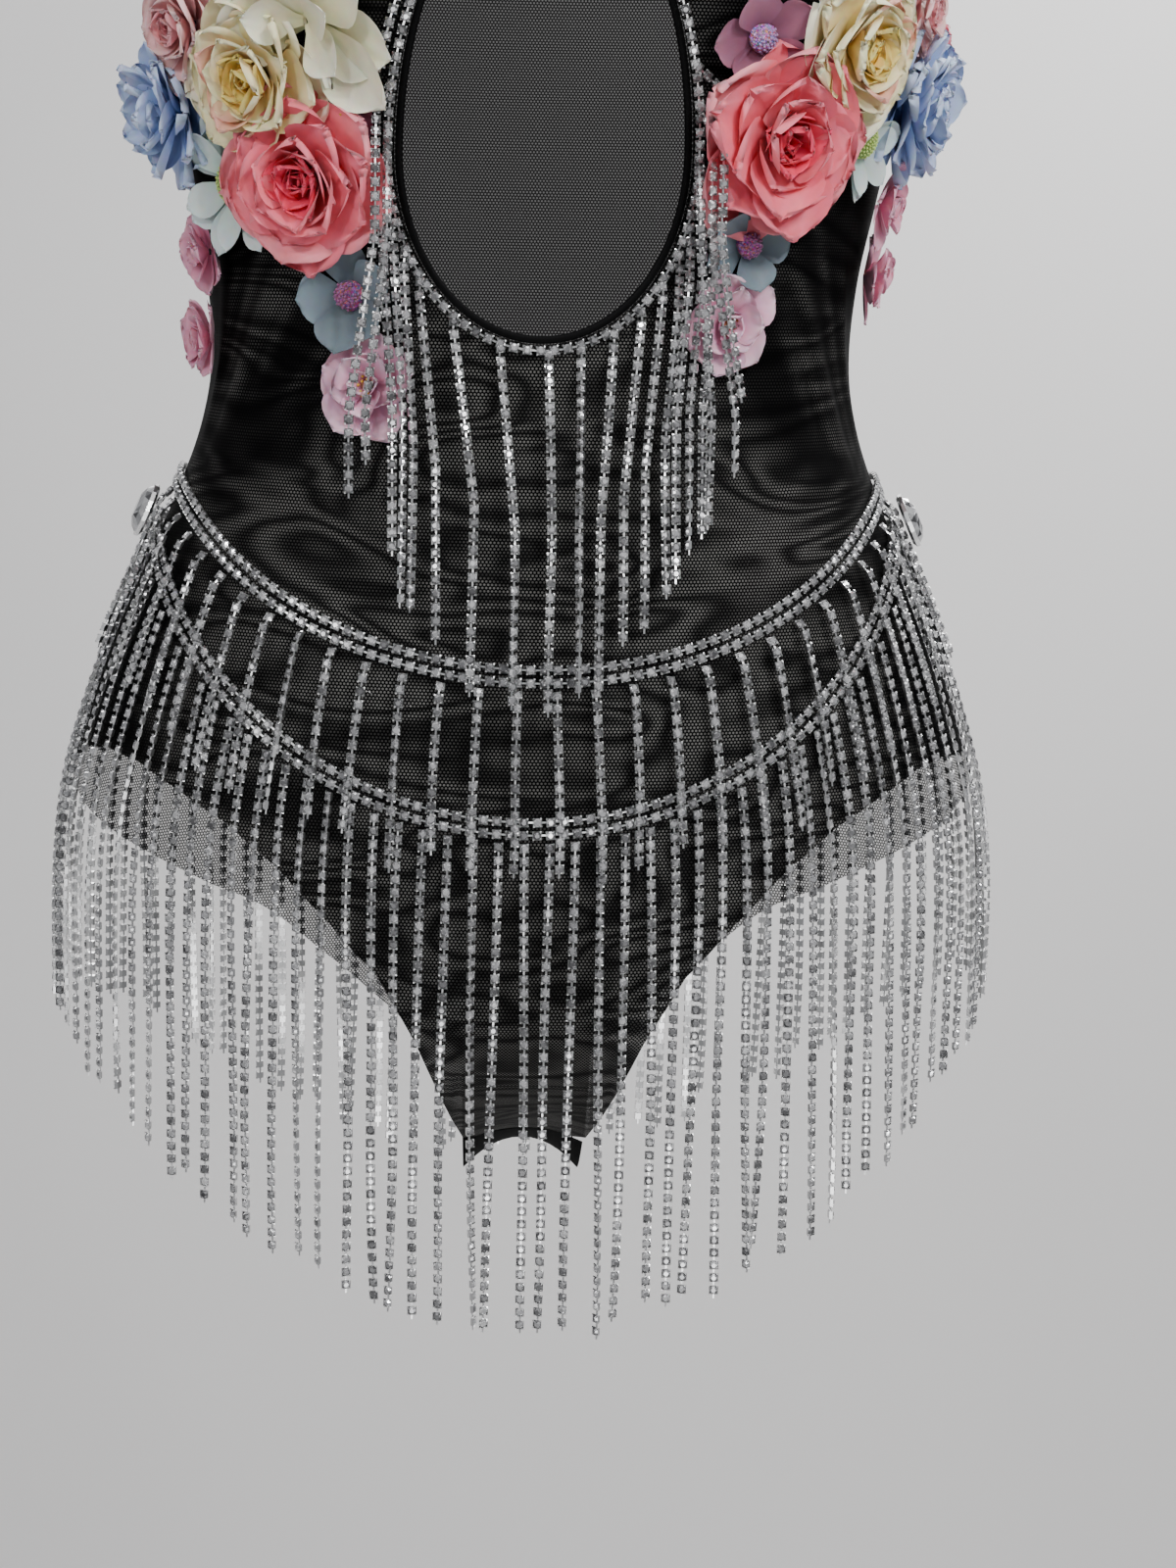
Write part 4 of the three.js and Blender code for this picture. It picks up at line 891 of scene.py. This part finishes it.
def line_frames(t, s, offset, lift):
    """Stones of a closed chain sewn along the line t, s, moved across it by offset."""
    points, normal = surface(t, s), outward(t, s)
    along = unit(np.roll(points, -1, 0) - np.roll(points, 1, 0))
    across = unit(np.cross(normal, along))
    path = points + across * offset + normal * (lift + CHAIN_THICK / 2)
    path = np.concatenate([path, path[:1]])
    run = run_along(path)
    count = int(round(run[-1] / PITCH))
    marks = run[-1] * np.arange(count) / count
    place = at_marks(marks, run, path)
    out = unit(at_marks(marks, run, np.concatenate([normal, normal[:1]])))
    ahead = unit(np.roll(place, -1, 0) - np.roll(place, 1, 0))
    wiggle = np.array([0.10 * scatter(k, 17) for k in range(count)])
    return stones_along(place, ahead, out, wiggle)


def hanging(t, top, length, lift_at):
    """Where a strand hangs: on the body while that widens, straight down where it draws in."""
    drops = np.arange(0, length + 7, 2.0)
    sec = section(station(top - drops))
    wide = np.maximum.accumulate(sec[:, 1])
    deep = np.maximum.accumulate(sec[:, 2] if math.cos(math.radians(t)) > 0 else sec[:, 3])
    x, y = wide * math.sin(math.radians(t)), -deep * math.cos(math.radians(t))
    out = unit(np.stack([x / wide**2, y / deep**2, 0 * x], -1))
    path = np.stack([x, y, top - drops], -1) + out * lift_at(drops)[:, None]
    return path, out


def sway(path, side, k, salt, reach):
    """A hanging chain is never quite straight: a slow lean and a slight wave."""
    f = np.linspace(0, 1, len(path))
    lean = reach * scatter(k, salt) * f**1.3
    wave = reach * 0.35 * np.sin(f * (5 + 2 * scatter(k, salt + 1)) + 3 * scatter(k, salt + 2)) * f
    return path + side * (lean + wave)[:, None]


LOOSE_TURN, STEADY_TURN = 1.45, 0.5        # how far loose and steady strands twist, in radians


def strand_frames(path, out, length, k, salt, reach):
    side = np.cross([0, 0, 1.0], out[0])
    path = sway(path, unit(side), k, salt, reach)
    place, ahead = walk(path, PITCH * 0.4, length)
    f = np.linspace(0, 1, len(place))
    most = LOOSE_TURN if scatter(k, salt + 4) > 0.35 else STEADY_TURN
    twist = most * scatter(k, salt + 5) * (0.35 + 0.65 * f) + 0.25 * np.sin(f * 9 + k)
    outs = np.repeat(out[:1], len(place), 0)
    return stones_along(place, ahead, outs, twist)


def hip_chains(belt, over, salt):
    """The two sewn chains of a belt, and its strands with their angles."""
    t = -180 + 360 * np.arange(720) / 720
    s = station(belt_height(belt, t))
    lines = [line_frames(t, s, offset, ON_CLOTH) for offset in (-BELT_HALF + 1.6, BELT_HALF - 1.6)]
    strands = []
    for k, angle in enumerate(even_angles(belt)):
        top = float(belt_height(belt, angle)) - BELT_HALF - 1
        middle = ON_CLOTH + CHAIN_THICK / 2

        def lift(drops):
            return middle + (OVER_BELT * np.clip(drops / 4, 0, 1) if over else 0.5 + 0 * drops)

        path, out = hanging(float(angle), top, belt["length"], lift)
        length = belt["length"] + PITCH * round(scatter(k, 3) * 0.8)
        strands.append((angle, strand_frames(path, out, length, k, salt, 1.6 if over else 3.0)))
    return lines, strands


ROOT_OUT = 4.5                  # from the keyhole's edge to where a strand is sewn on
SECOND_LINE = (132, 260)        # the second line of chain runs between these angles of the rim


def keyhole_chains():
    """The chain round the keyhole, and the strands that hang from it."""
    def point(angle):
        x, h = keyhole_point(abs(angle))
        s = float(station(h))
        return math.copysign(angle_of(x, s), angle), s

    fine = [point(a if a <= 180 else a - 360) for a in np.arange(0, 360, 2.0)]
    t, s = np.array(fine).T
    on_rim = CUT_BACK + 0.3 + 1.5
    line = line_frames(t, s, -on_rim, ON_CLOTH + 0.2)
    second = line_frames(t, s, -(on_rim + PITCH), ON_CLOTH + 0.2)
    marks = np.linspace(0, 360, len(second), endpoint=False)
    line = np.concatenate([line, second[(marks > SECOND_LINE[0]) & (marks < SECOND_LINE[1])]])
    strands = []
    for k, (angle, near, far, stones, front) in enumerate(KEY_STRANDS):
        x, h = keyhole_point(abs(angle))
        side, top = math.copysign(1, angle), h - 8
        total = KEY_LENGTH + PITCH * stones
        root_x = x + ROOT_OUT * abs(math.sin(math.radians(angle)))
        root_s = float(station(h - ROOT_OUT * math.cos(math.radians(angle))))
        path, reach = [surface(angle_of(root_x, root_s) * side, root_s, ON_CLOTH + 1.6)], 0.0
        for drop in np.arange(0, total + 7, 3.0):
            level = top - drop
            share = min(max((min(FALL_LEVEL, top) - level) / FALL_HEIGHT, 0), 1)
            at = (near + (far - near) * share) * side
            st = float(station(level))
            depth = -float(surface(angle_of(at, st), st)[1])
            over_petals = OVER_FLOWER * min(max((abs(at) - 40) / 8, 0), 1)
            clear = min(max(drop / 16, 0), 1) * (OVER_BELT + 2.3 + over_petals + OVER_STRAND * front)
            reach = max(reach, depth + ON_CLOTH + 0.2 + CHAIN_THICK / 2 + clear)
            path.append(np.array([at, -reach, level]))
        out = np.tile([0.0, -1.0, 0.0], (len(path), 1))
        strands.append(strand_frames(np.array(path), out, total + 6, k, 31, 1.2))
    return line, strands


FRONT_HALF = 80                 # the lower belt's strands nearer the centre front than this angle


def chains():
    """One piece for each fringe, the longest in a front and a back half."""
    line, strands = keyhole_chains()
    upper, over = hip_chains(UPPER_BELT, True, 51)
    lower, under = hip_chains(LOWER_BELT, False, 71)
    for name, node, frames in (
        ("keyhole_chain", "keyhole_fringe", [line] + strands),
        ("hip_chain_upper", "hip_fringe_upper", upper + [f for _, f in over]),
        ("hip_chain_lower_front", "hip_fringe_lower", lower + [f for a, f in under if abs(a) < FRONT_HALF]),
        ("hip_chain_lower_back", "hip_fringe_lower", [f for a, f in under if abs(a) >= FRONT_HALF]),
    ):
        finish_piece(chain_mesh(name, np.concatenate(frames)), node)


# ------------------------------------------------------------------ hip crystals
def hip_crystal(name, sign, node):
    """A pear-shaped stone with a faceted crown, in a plain raised setting."""
    t = sign * CRYSTAL["angle"]
    s = float(station(CRYSTAL["h"]))
    normal = outward(t, s)
    centre = bare(t, s) + normal * CRYSTAL["lift"]
    side = unit(np.cross([0, 0, 1.0], normal))
    up = np.cross(normal, side)
    sides = 16
    points, faces, index = [], [], []

    def ring(share, lift, shift=0.0):
        base = len(points)
        for k in range(sides):
            a = 2 * math.pi * (k + shift) / sides
            taper = 1 - 0.35 * max(0, math.sin(a)) ** 2
            x = share * CRYSTAL["wide"] / 2 * math.cos(a) * taper
            z = share * CRYSTAL["long"] / 2 * math.sin(a)
            points.append(centre + side * x + up * z + normal * lift)
        return base

    def join(a, b, material):
        """Metal is joined with squares, and the stone with the triangles of its facets."""
        for k in range(sides):
            m = (k + 1) % sides
            if material:
                faces.extend([[a + k, a + m, b + k], [a + m, b + m, b + k]])
                index.extend([material] * 2)
            else:
                faces.append([a + k, a + m, b + m, b + k])
                index.append(material)

    setting = [ring(0.86, 0), ring(1.0, 1.0), ring(1.0, 2.4), ring(0.9, 2.6)]
    stone = [ring(0.92, 2.3), ring(0.74, 4.3, 0.5), ring(0.46, 5.6)]
    for material, rings in enumerate((setting, stone)):
        for a, b in zip(rings, rings[1:]):
            join(a, b, material)
    faces.append([stone[-1] + k for k in range(sides)])
    index.append(1)
    faces.append([setting[0] + k for k in range(sides - 1, -1, -1)])
    index.append(0)
    # painted glints: each face of the crystal is painted its own brightness, as reflections of light
    glint_tones = [0.5 + 0.5 * scatter(k, 9) for k in range(len(faces))]
    obj = make_mesh(name, points, faces, [CUP, STONE], index=index, smooth=False, glint_tones=glint_tones)
    finish_piece(obj, node)


# ------------------------------------------------------------------ silk flowers
DICE = np.random.default_rng(11)
GOLDEN_TURN = 2.39996           # radians from bead to bead, which spreads them evenly
BEAD = np.array([(1, 0, 0), (0, 1, 0), (-1, 0, 0), (0, -1, 0), (0, 0, 1), (0, 0, -1)])
BEAD_FACES = [[0, 1, 4], [1, 2, 4], [2, 3, 4], [3, 0, 4], [1, 0, 5], [2, 1, 5], [3, 2, 5], [0, 3, 5]]


def petal(length, width, cup=0.2, curl=0.0, ruffle=0.0, waves=3.0, narrow=0.22, rows=10, cols=10):
    """One cut petal: base at the origin, along +Y, its face up. Returns points and (u, v)."""
    v = np.sin(np.linspace(0, math.pi / 2, rows))[:, None]
    u = np.sin(np.linspace(-math.pi / 2, math.pi / 2, cols))[None, :]
    rise = np.clip(v / 0.62, 0, 1)
    rise = rise * rise * (3 - 2 * rise)
    fall = np.sqrt(np.clip(1 - (np.clip(v - 0.58, 0, 1) / 0.421) ** 2, 0.004, 1))
    half = width / 2 * (narrow + (1 - narrow) * rise) * fall
    x = u * half
    y = length * (v + 0.07 * (1 - u**2) * v**4)
    phase = DICE.uniform(0, 6.28)
    edge = ruffle * length * np.sin(waves * math.pi * u + phase) * v**2 * (0.5 + 0.5 * np.abs(u))
    edge = edge + 0.5 * ruffle * length * np.sin(waves * 1.7 * math.pi * u + 2 * phase) * v**3
    z = cup * width * u**2 * (half / (width / 2)) + edge
    bend = curl * v**1.5
    yy = y * np.cos(bend) - z * np.sin(bend) * 0.6
    zz = y * np.sin(bend) * 0.75 + z
    x, u, v = (np.broadcast_to(a, zz.shape) for a in (x, u, v))
    return np.stack([x, yy, zz], -1), u, v


class Flower:
    """Petals gathered round one stalk point, facing out of the cloth."""

    def __init__(self, name, t, h, lift=1.2, turn=0.0):
        self.name = name
        s = float(station(h))
        normal = outward(t, s)
        up = unit(np.array([0, 0, 1.0]) - normal * normal[2])
        self.normal, self.up, self.side = normal, up, np.cross(up, normal)
        self.centre = surface(t, s, lift)
        self.turn = math.radians(turn)
        self.points, self.faces, self.index, self.colours = [], [], [], []

    def add(self, local, faces, colour, material=0):
        base = sum(len(p) for p in self.points)
        local = np.asarray(local).reshape(-1, 3)
        world = (self.centre + local[:, :1] * self.side + local[:, 1:2] * self.up
                 + local[:, 2:] * self.normal)
        self.points.append(world)
        self.faces += [[base + k for k in f] for f in faces]
        self.index += [material] * len(faces)
        self.colours.append(np.broadcast_to(colour, (len(local), 3)))

    def layer(self, count, length, width, tilt, at=0.0, z=0.0, start=0.0, base=(1, 1, 1), tip=(1, 1, 1),
              spread=0.09, tone_and_glint=0.06, loose=1.0, cup=0.15, curl=0.0, **shape):
        """A ring of petals. tilt is 0 for flat open, 90 for standing up; loose is how uneven."""
        for k in range(count):
            way, far, lean, roll, bowl, bend = DICE.uniform(-1, 1, 6) * loose
            points, u, v = petal(length * (1 + spread * far), width * (1 + spread * way),
                                 cup=cup * (1 + 0.35 * bowl), curl=curl + 0.14 * bend, **shape)
            rows, cols = v.shape
            roll *= 0.16
            x = points[..., 0] * math.cos(roll) - points[..., 2] * math.sin(roll)
            out = points[..., 2] * math.cos(roll) + points[..., 0] * math.sin(roll)
            a = math.radians(tilt + 8 * lean)
            y = at + points[..., 1] * math.cos(a) - out * math.sin(a)
            zz = np.maximum(z + points[..., 1] * math.sin(a) + out * math.cos(a), 0.2)
            b = self.turn + math.radians(start) + 2 * math.pi * (k + 0.2 * way) / count
            local = np.stack([x * math.cos(b) - y * math.sin(b), x * math.sin(b) + y * math.cos(b), zz], -1)
            f = np.clip(v ** 1.1 + 0.15 * np.abs(u) * v, 0, 1)[..., None]
            shade = 1 + tone_and_glint * DICE.uniform(-1, 1)
            colour = (np.array(base) * (1 - f) + np.array(tip) * f) * shade
            streak = 1 - 0.07 * (0.5 + 0.5 * np.sin(u * 15 + k))[..., None] * (1 - f)
            self.add(local, grid_faces(rows, cols), np.clip(colour * streak, 0, 1).reshape(-1, 3))

    def dome(self, radius, height, z, colour, material=0, bumps=0.0):
        """The button or heart in the middle."""
        rings, sides = 7, 18
        points, faces = [], []
        for i in range(rings + 1):
            a = math.pi / 2 * i / rings
            for k in range(sides):
                b = 2 * math.pi * k / sides
                bump = 1 + bumps * math.sin(k * 7.3 + i * 5.1)
                r = radius * math.cos(a) * bump
                points.append((r * math.cos(b), r * math.sin(b), z + height * math.sin(a) * bump))
        for i in range(rings):
            for k in range(sides):
                m = (k + 1) % sides
                faces.append([i * sides + k, i * sides + m, (i + 1) * sides + m, (i + 1) * sides + k])
        self.add(points, faces, colour, material)

    def beads(self, count, spread, z, size, colour):
        """Small round heads of stamens, or the dots of a button. z is a height or a function."""
        for k in range(count):
            a = k * GOLDEN_TURN
            r = spread * math.sqrt((k + 0.5) / count)
            lift = z(r) if callable(z) else z + 0.6 * DICE.uniform(-1, 1)
            centre = np.array([r * math.cos(a), r * math.sin(a), lift])
            self.add(centre + size * BEAD, BEAD_FACES, colour, 0)

    def finish(self):
        obj = make_mesh(self.name + "_silk", np.concatenate(self.points), self.faces, [PETAL, GLITTER],
                        index=self.index, colour=np.concatenate(self.colours))
        finish_piece(obj, self.name)


def on_dome(foot, height, radius):
    """Height of a bead on a dome, by its distance from the middle."""
    return lambda q: foot + height * math.sqrt(max(0, 1 - (q / radius) ** 2))


# rings of a rose from the outside in: petals, length, width and seat as parts of the radius, tilt,
# height as a part of the stand, direction of the first petal, shades at foot and tip (0 deep,
# 1 inner, 2 outer, 3 edge), cup, curl, ruffle, waves and looseness
ROSE_RINGS = [
    (5, 1.04, 1.22, 0.04, 9, 0.00, 0, 1, 3, 0.10, 0.10, 0.06, 2.2, 1.0),
    (6, 0.96, 1.06, 0.04, 22, 0.06, 31, 1, 2, 0.14, -0.05, 0.06, 2.4, 1.0),
    (6, 0.80, 0.92, 0.05, 36, 0.12, 8, 1, 2, 0.18, -0.15, 0.06, 2.6, 1.0),
    (6, 0.64, 0.76, 0.06, 50, 0.17, 37, 0, 2, 0.24, -0.12, 0.06, 3.0, 1.2),
    (6, 0.52, 0.58, 0.07, 62, 0.20, 14, 0, 1, 0.30, -0.05, 0.07, 3.0, 1.3),
    (5, 0.44, 0.42, 0.06, 74, 0.22, 50, 0, 1, 0.40, 0.00, 0.06, 3.0, 1.4),
    (4, 0.36, 0.30, 0.02, 84, 0.24, 20, 0, 0, 0.55, 0.00, 0.05, 3.0, 1.4),
]
LOWEST = 0.4                    # a flower's outer petals lie this far above its stalk point


def rose(name, t, h, r, stand, colours, turn=0.0, flushed=()):
    """A full silk rose: open outer petals, standing ones inside them and a loose heart. flushed
    gives the directions of extra petals in pink."""
    shades = [srgb(c) for c in colours]
    f = Flower(name, t, h, turn=turn)
    for row in ROSE_RINGS:
        count, length, width, seat, tilt, up, start, foot, tip, cup, curl, ruffle, waves, loose = row
        f.layer(count, r * length, r * width, tilt, at=r * seat, z=max(stand * up, LOWEST), start=start,
                base=shades[foot], tip=shades[tip], cup=cup, curl=curl, ruffle=ruffle, waves=waves,
                loose=loose)
    for way in flushed:
        f.layer(1, r * 0.72, r * 0.66, 44, at=r * 0.07, z=stand * 0.16, start=way, base=shades[1],
                tip=srgb(0xF9B9A4), cup=0.2, ruffle=0.06, waves=2.6)
    f.finish()


# rings of a frilled flower: petals, reach as a part of the radius, tilt, height in the stand
FRILLED_RINGS = [
    (10, 1.00, 8, 0.0), (9, 0.92, 22, 0.08), (9, 0.82, 36, 0.14), (8, 0.70, 48, 0.20),
    (7, 0.56, 60, 0.25), (5, 0.44, 72, 0.30), (3, 0.34, 84, 0.34),
]


def ruffled(name, t, h, r, stand, colours, turn=0.0):
    """Layers of small frilled petals, as on a hydrangea or a carnation."""
    base, tip = (srgb(c) for c in colours)
    f = Flower(name, t, h, turn=turn)
    for k, (count, reach, tilt, z) in enumerate(FRILLED_RINGS):
        f.layer(count, r * reach, r * 0.76 * reach ** 0.5, tilt, at=r * 0.05, z=LOWEST + stand * z,
                start=23 * k, base=base, tip=tip, cup=0.10, curl=0.05, ruffle=0.075, waves=2.0,
                narrow=0.5, rows=9, cols=9, tone_and_glint=0.10, loose=1.5)
    f.finish()


# petals of the magnolia in the order they are laid: direction, length, width and tilt
MAGNOLIA_PETALS = [
    (-158, 36, 24, 12), (-96, 30, 27, 9), (-38, 27, 24, 10), (28, 26, 24, 12), (88, 33, 24, 9),
    (128, 22, 19, 14), (-124, 22, 18, 30), (10, 19, 17, 36), (70, 19, 16, 40), (-60, 18, 16, 42),
]


def magnolia(name, t, h, colours):
    """Large smooth petals laid one by one."""
    base, tip = (srgb(c) for c in colours)
    f = Flower(name, t, h)
    for k, (way, length, width, tilt) in enumerate(MAGNOLIA_PETALS):
        f.layer(1, length, width, tilt, at=1.0, z=0.8 + 0.5 * k, start=way, base=base, tip=tip,
                cup=0.16, curl=0.0, ruffle=0.015, rows=12, cols=12, tone_and_glint=0.02, loose=0.5)
    f.finish()


def daisy(name, t, h, r, turn=0.0):
    """Two rings of white petals round a green button with dots."""
    f = Flower(name, t, h, turn=turn)
    common = dict(base=srgb(0xA9BFB4), tip=srgb(0xE6F0F0), ruffle=0.015, narrow=0.45, rows=10, cols=8)
    f.layer(7, r * 0.98, r * 0.62, 8, at=r * 0.22, z=0.8, cup=0.12, curl=0.12, **common)
    f.layer(5, r * 0.90, r * 0.56, 15, at=r * 0.2, z=1.6, start=26, cup=0.16, curl=0.08, **common)
    button = r * 0.38
    f.dome(button, 5.6, 2.4, srgb(0x6F9030), bumps=0.02)
    f.beads(90, button * 0.97, on_dome(2.4, 5.7, button), 0.6, srgb(0xC6DC7E))
    f.finish()


def blossom(name, t, h, r, colours, slot, heart, glitter=False, turn=0.0, width=1.0, ruffle=0.03):
    """A flat five-petalled blossom with a glitter heart or a bunch of stamens."""
    base, tip = (srgb(c) for c in colours)
    heart = srgb(heart)
    f = Flower(name, t, h, turn=turn)
    f.layer(5, r * 0.98, r * 1.02 * width, 11, at=r * 0.08, z=0.6, base=base, tip=tip, cup=0.12,
            curl=0.1, ruffle=ruffle, narrow=0.3, tone_and_glint=0.10)
    if glitter:
        f.dome(r * 0.30, 4.4, 2.0, heart, 1, bumps=0.05)
        f.beads(40, r * 0.29, on_dome(2.2, 4.4, r * 0.3), 0.7, heart)
    else:
        inner = dict(at=r * 0.05, base=base, tip=tip, ruffle=ruffle * 1.3, tone_and_glint=0.08)
        f.layer(5, r * 0.74, r * 0.84, 34, z=1.4, start=36, cup=0.22, **inner)
        f.layer(4, r * 0.46, r * 0.56, 60, z=2.0, start=10, cup=0.3, **inner)
        f.dome(r * 0.13, 2.8, 3.0, srgb(0x8E5A2E))
        f.beads(16, r * 0.24, 6.0, 0.75, heart)
    f.finish()


def flowers():
    """Every flower with its angle, height and radius, in the order that they are sewn on."""
    blush = (0xE07C86, 0xF2A0A6, 0xFACBC9, 0xFBDEDA)
    cream = (0xFFC840, 0xFFE284, 0xFCF0C4, 0xF8F2DA)
    coral = (0xE01E44, 0xFF4568, 0xFF7D8E, 0xFF97A2)
    blue, grey = (0x86A8E6, 0xCBDAFA), (0x47545E, 0x7C8D97)
    pink, rosy = (0xC65C90, 0xF7CEDF), (0xD25F8E, 0xF3AFC6)
    sparkle, gold = 0xA0608F, 0xE3B93B
    side = dict(colours=rosy, slot="silk_pink", heart=gold, ruffle=0.05)
    low = dict(colours=pink, slot="silk_pink", ruffle=0.06, width=1.1)
    rose("left_blush_rose", -60, 116, 23, 16, blush, turn=12)
    ruffled("left_blue_hydrangea", -70, 88, 25, 17, blue, turn=8)
    magnolia("left_ivory_magnolia", -34.5, 116, (0xDAD5A8, 0xF6F2DC))
    rose("left_cream_rose", -44, 98, 28, 17, cream, turn=40, flushed=(55, 100, 150))
    daisy("left_daisy", -54.5, 62, 22, turn=10)
    blossom("left_wine_blossom", -29.5, 86, 10, (0x6E2840, 0xB0607C), "silk_wine", gold)
    rose("left_coral_rose", -37, 64, 30, 17, coral, turn=20)
    blossom("left_grey_blossom", -32.5, 24, 18, grey, "silk_grey", sparkle, True, turn=16)
    blossom("left_pink_blossom", -29, -7.5, 18, heart=gold, **low)
    blossom("left_side_blossom_high", -71, 38, 15, turn=30, **side)
    blossom("left_side_blossom_low", -75, 7, 16, turn=8, **side)
    blossom("right_mauve_blossom", 31.5, 113, 17, (0x70304F, 0xB4768F), "silk_mauve", 0xB187B8, True, turn=30)
    rose("right_cream_rose", 49, 112, 29, 17, cream, turn=200, flushed=(-140, 150, 20))
    rose("right_blush_rose", 70, 128, 18, 15, blush, turn=70)
    ruffled("right_coral_carnation", 94, 117, 18, 22, (0xDE4868, 0xF7859A))
    ruffled("right_blue_hydrangea", 75, 96, 27, 20, blue, turn=31)
    daisy("right_daisy", 57, 82, 19, turn=24)
    rose("right_coral_rose", 36, 81, 33, 18, coral, turn=-14)
    blossom("right_grey_blossom", 34.5, 44, 16, grey, "silk_grey", sparkle, True, turn=-18)
    blossom("right_pink_blossom", 31.7, 17, 18, heart=0x9A5A2A, turn=20, **low)
    blossom("right_side_blossom_high", 76, 60, 15, turn=14, **side)
    blossom("right_side_blossom_low", 80, 34, 17, turn=40, **side)


# ------------------------------------------------------------------ the studio
WALL_AT = 2.6                   # well behind, so that the piece can be seen from all round
FLOOR_AT = -2.15


def studio():
    wall = plain("pale_wall", (0.78, 0.77, 0.765), 0.7)
    deselect()
    bpy.ops.mesh.primitive_plane_add(size=9.0, location=(0, WALL_AT, -0.2), rotation=(math.pi / 2, 0, 0))
    backdrop = bpy.context.object
    backdrop.name = "backdrop"
    backdrop.data.materials.append(wall)
    deselect()
    bpy.ops.mesh.primitive_plane_add(size=12.0, location=(0, 0, FLOOR_AT))
    floor = bpy.context.object
    floor.name = "floor"
    floor.data.materials.append(wall)
    aim = Vector((0, 0, -0.4))

    def area(name, at, size, power, at_wall=False):
        data = bpy.data.lights.new(name, "AREA")
        data.shape = "SQUARE"
        data.size, data.energy = size, power
        light = bpy.data.objects.new(name, data)
        light.location = at
        target = Vector((0, WALL_AT, -0.5)) if at_wall else aim
        light.rotation_euler = (target - Vector(at)).to_track_quat("-Z", "Y").to_euler()
        COLLECTION.objects.link(light)

    area("key", (1.0, -1.5, 0.9), 0.4, 30)
    area("fill", (-1.7, -1.5, 0.3), 0.8, 12)
    area("overhead", (0.2, -0.3, 1.2), 0.6, 8)
    area("low", (0.2, -1.6, -1.2), 0.5, 4)
    area("rear", (-0.8, 1.7, 0.9), 0.8, 16)
    area("sparkle_left", (-0.55, -1.2, 0.45), 0.08, 5)
    area("sparkle_right", (0.45, -1.3, 0.2), 0.06, 4)
    area("wall_wash", (1.4, WALL_AT - 1.3, 1.3), 1.2, 88, at_wall=True)
    world = bpy.data.worlds.new("studio")
    world.use_nodes = True
    world.node_tree.nodes["Background"].inputs["Color"].default_value = (0.80, 0.82, 0.86, 1)
    world.node_tree.nodes["Background"].inputs["Strength"].default_value = 0.28
    bpy.context.scene.world = world


panel("front_cloth", FRONT_ROWS, 60, False, "front_body")
panel("back_cloth", BACK_ROWS, 56, True, "back_body")
gusset()
lining()
binding("keyhole_binding", "keyhole")
binding("neck_binding", "neck")
binding("armhole_binding_l", "armhole_l")
binding("armhole_binding_r", "armhole_r")
chains()
hip_crystal("hip_gem_l", -1, "hip_crystal_l")
hip_crystal("hip_gem_r", 1, "hip_crystal_r")
flowers()
studio()
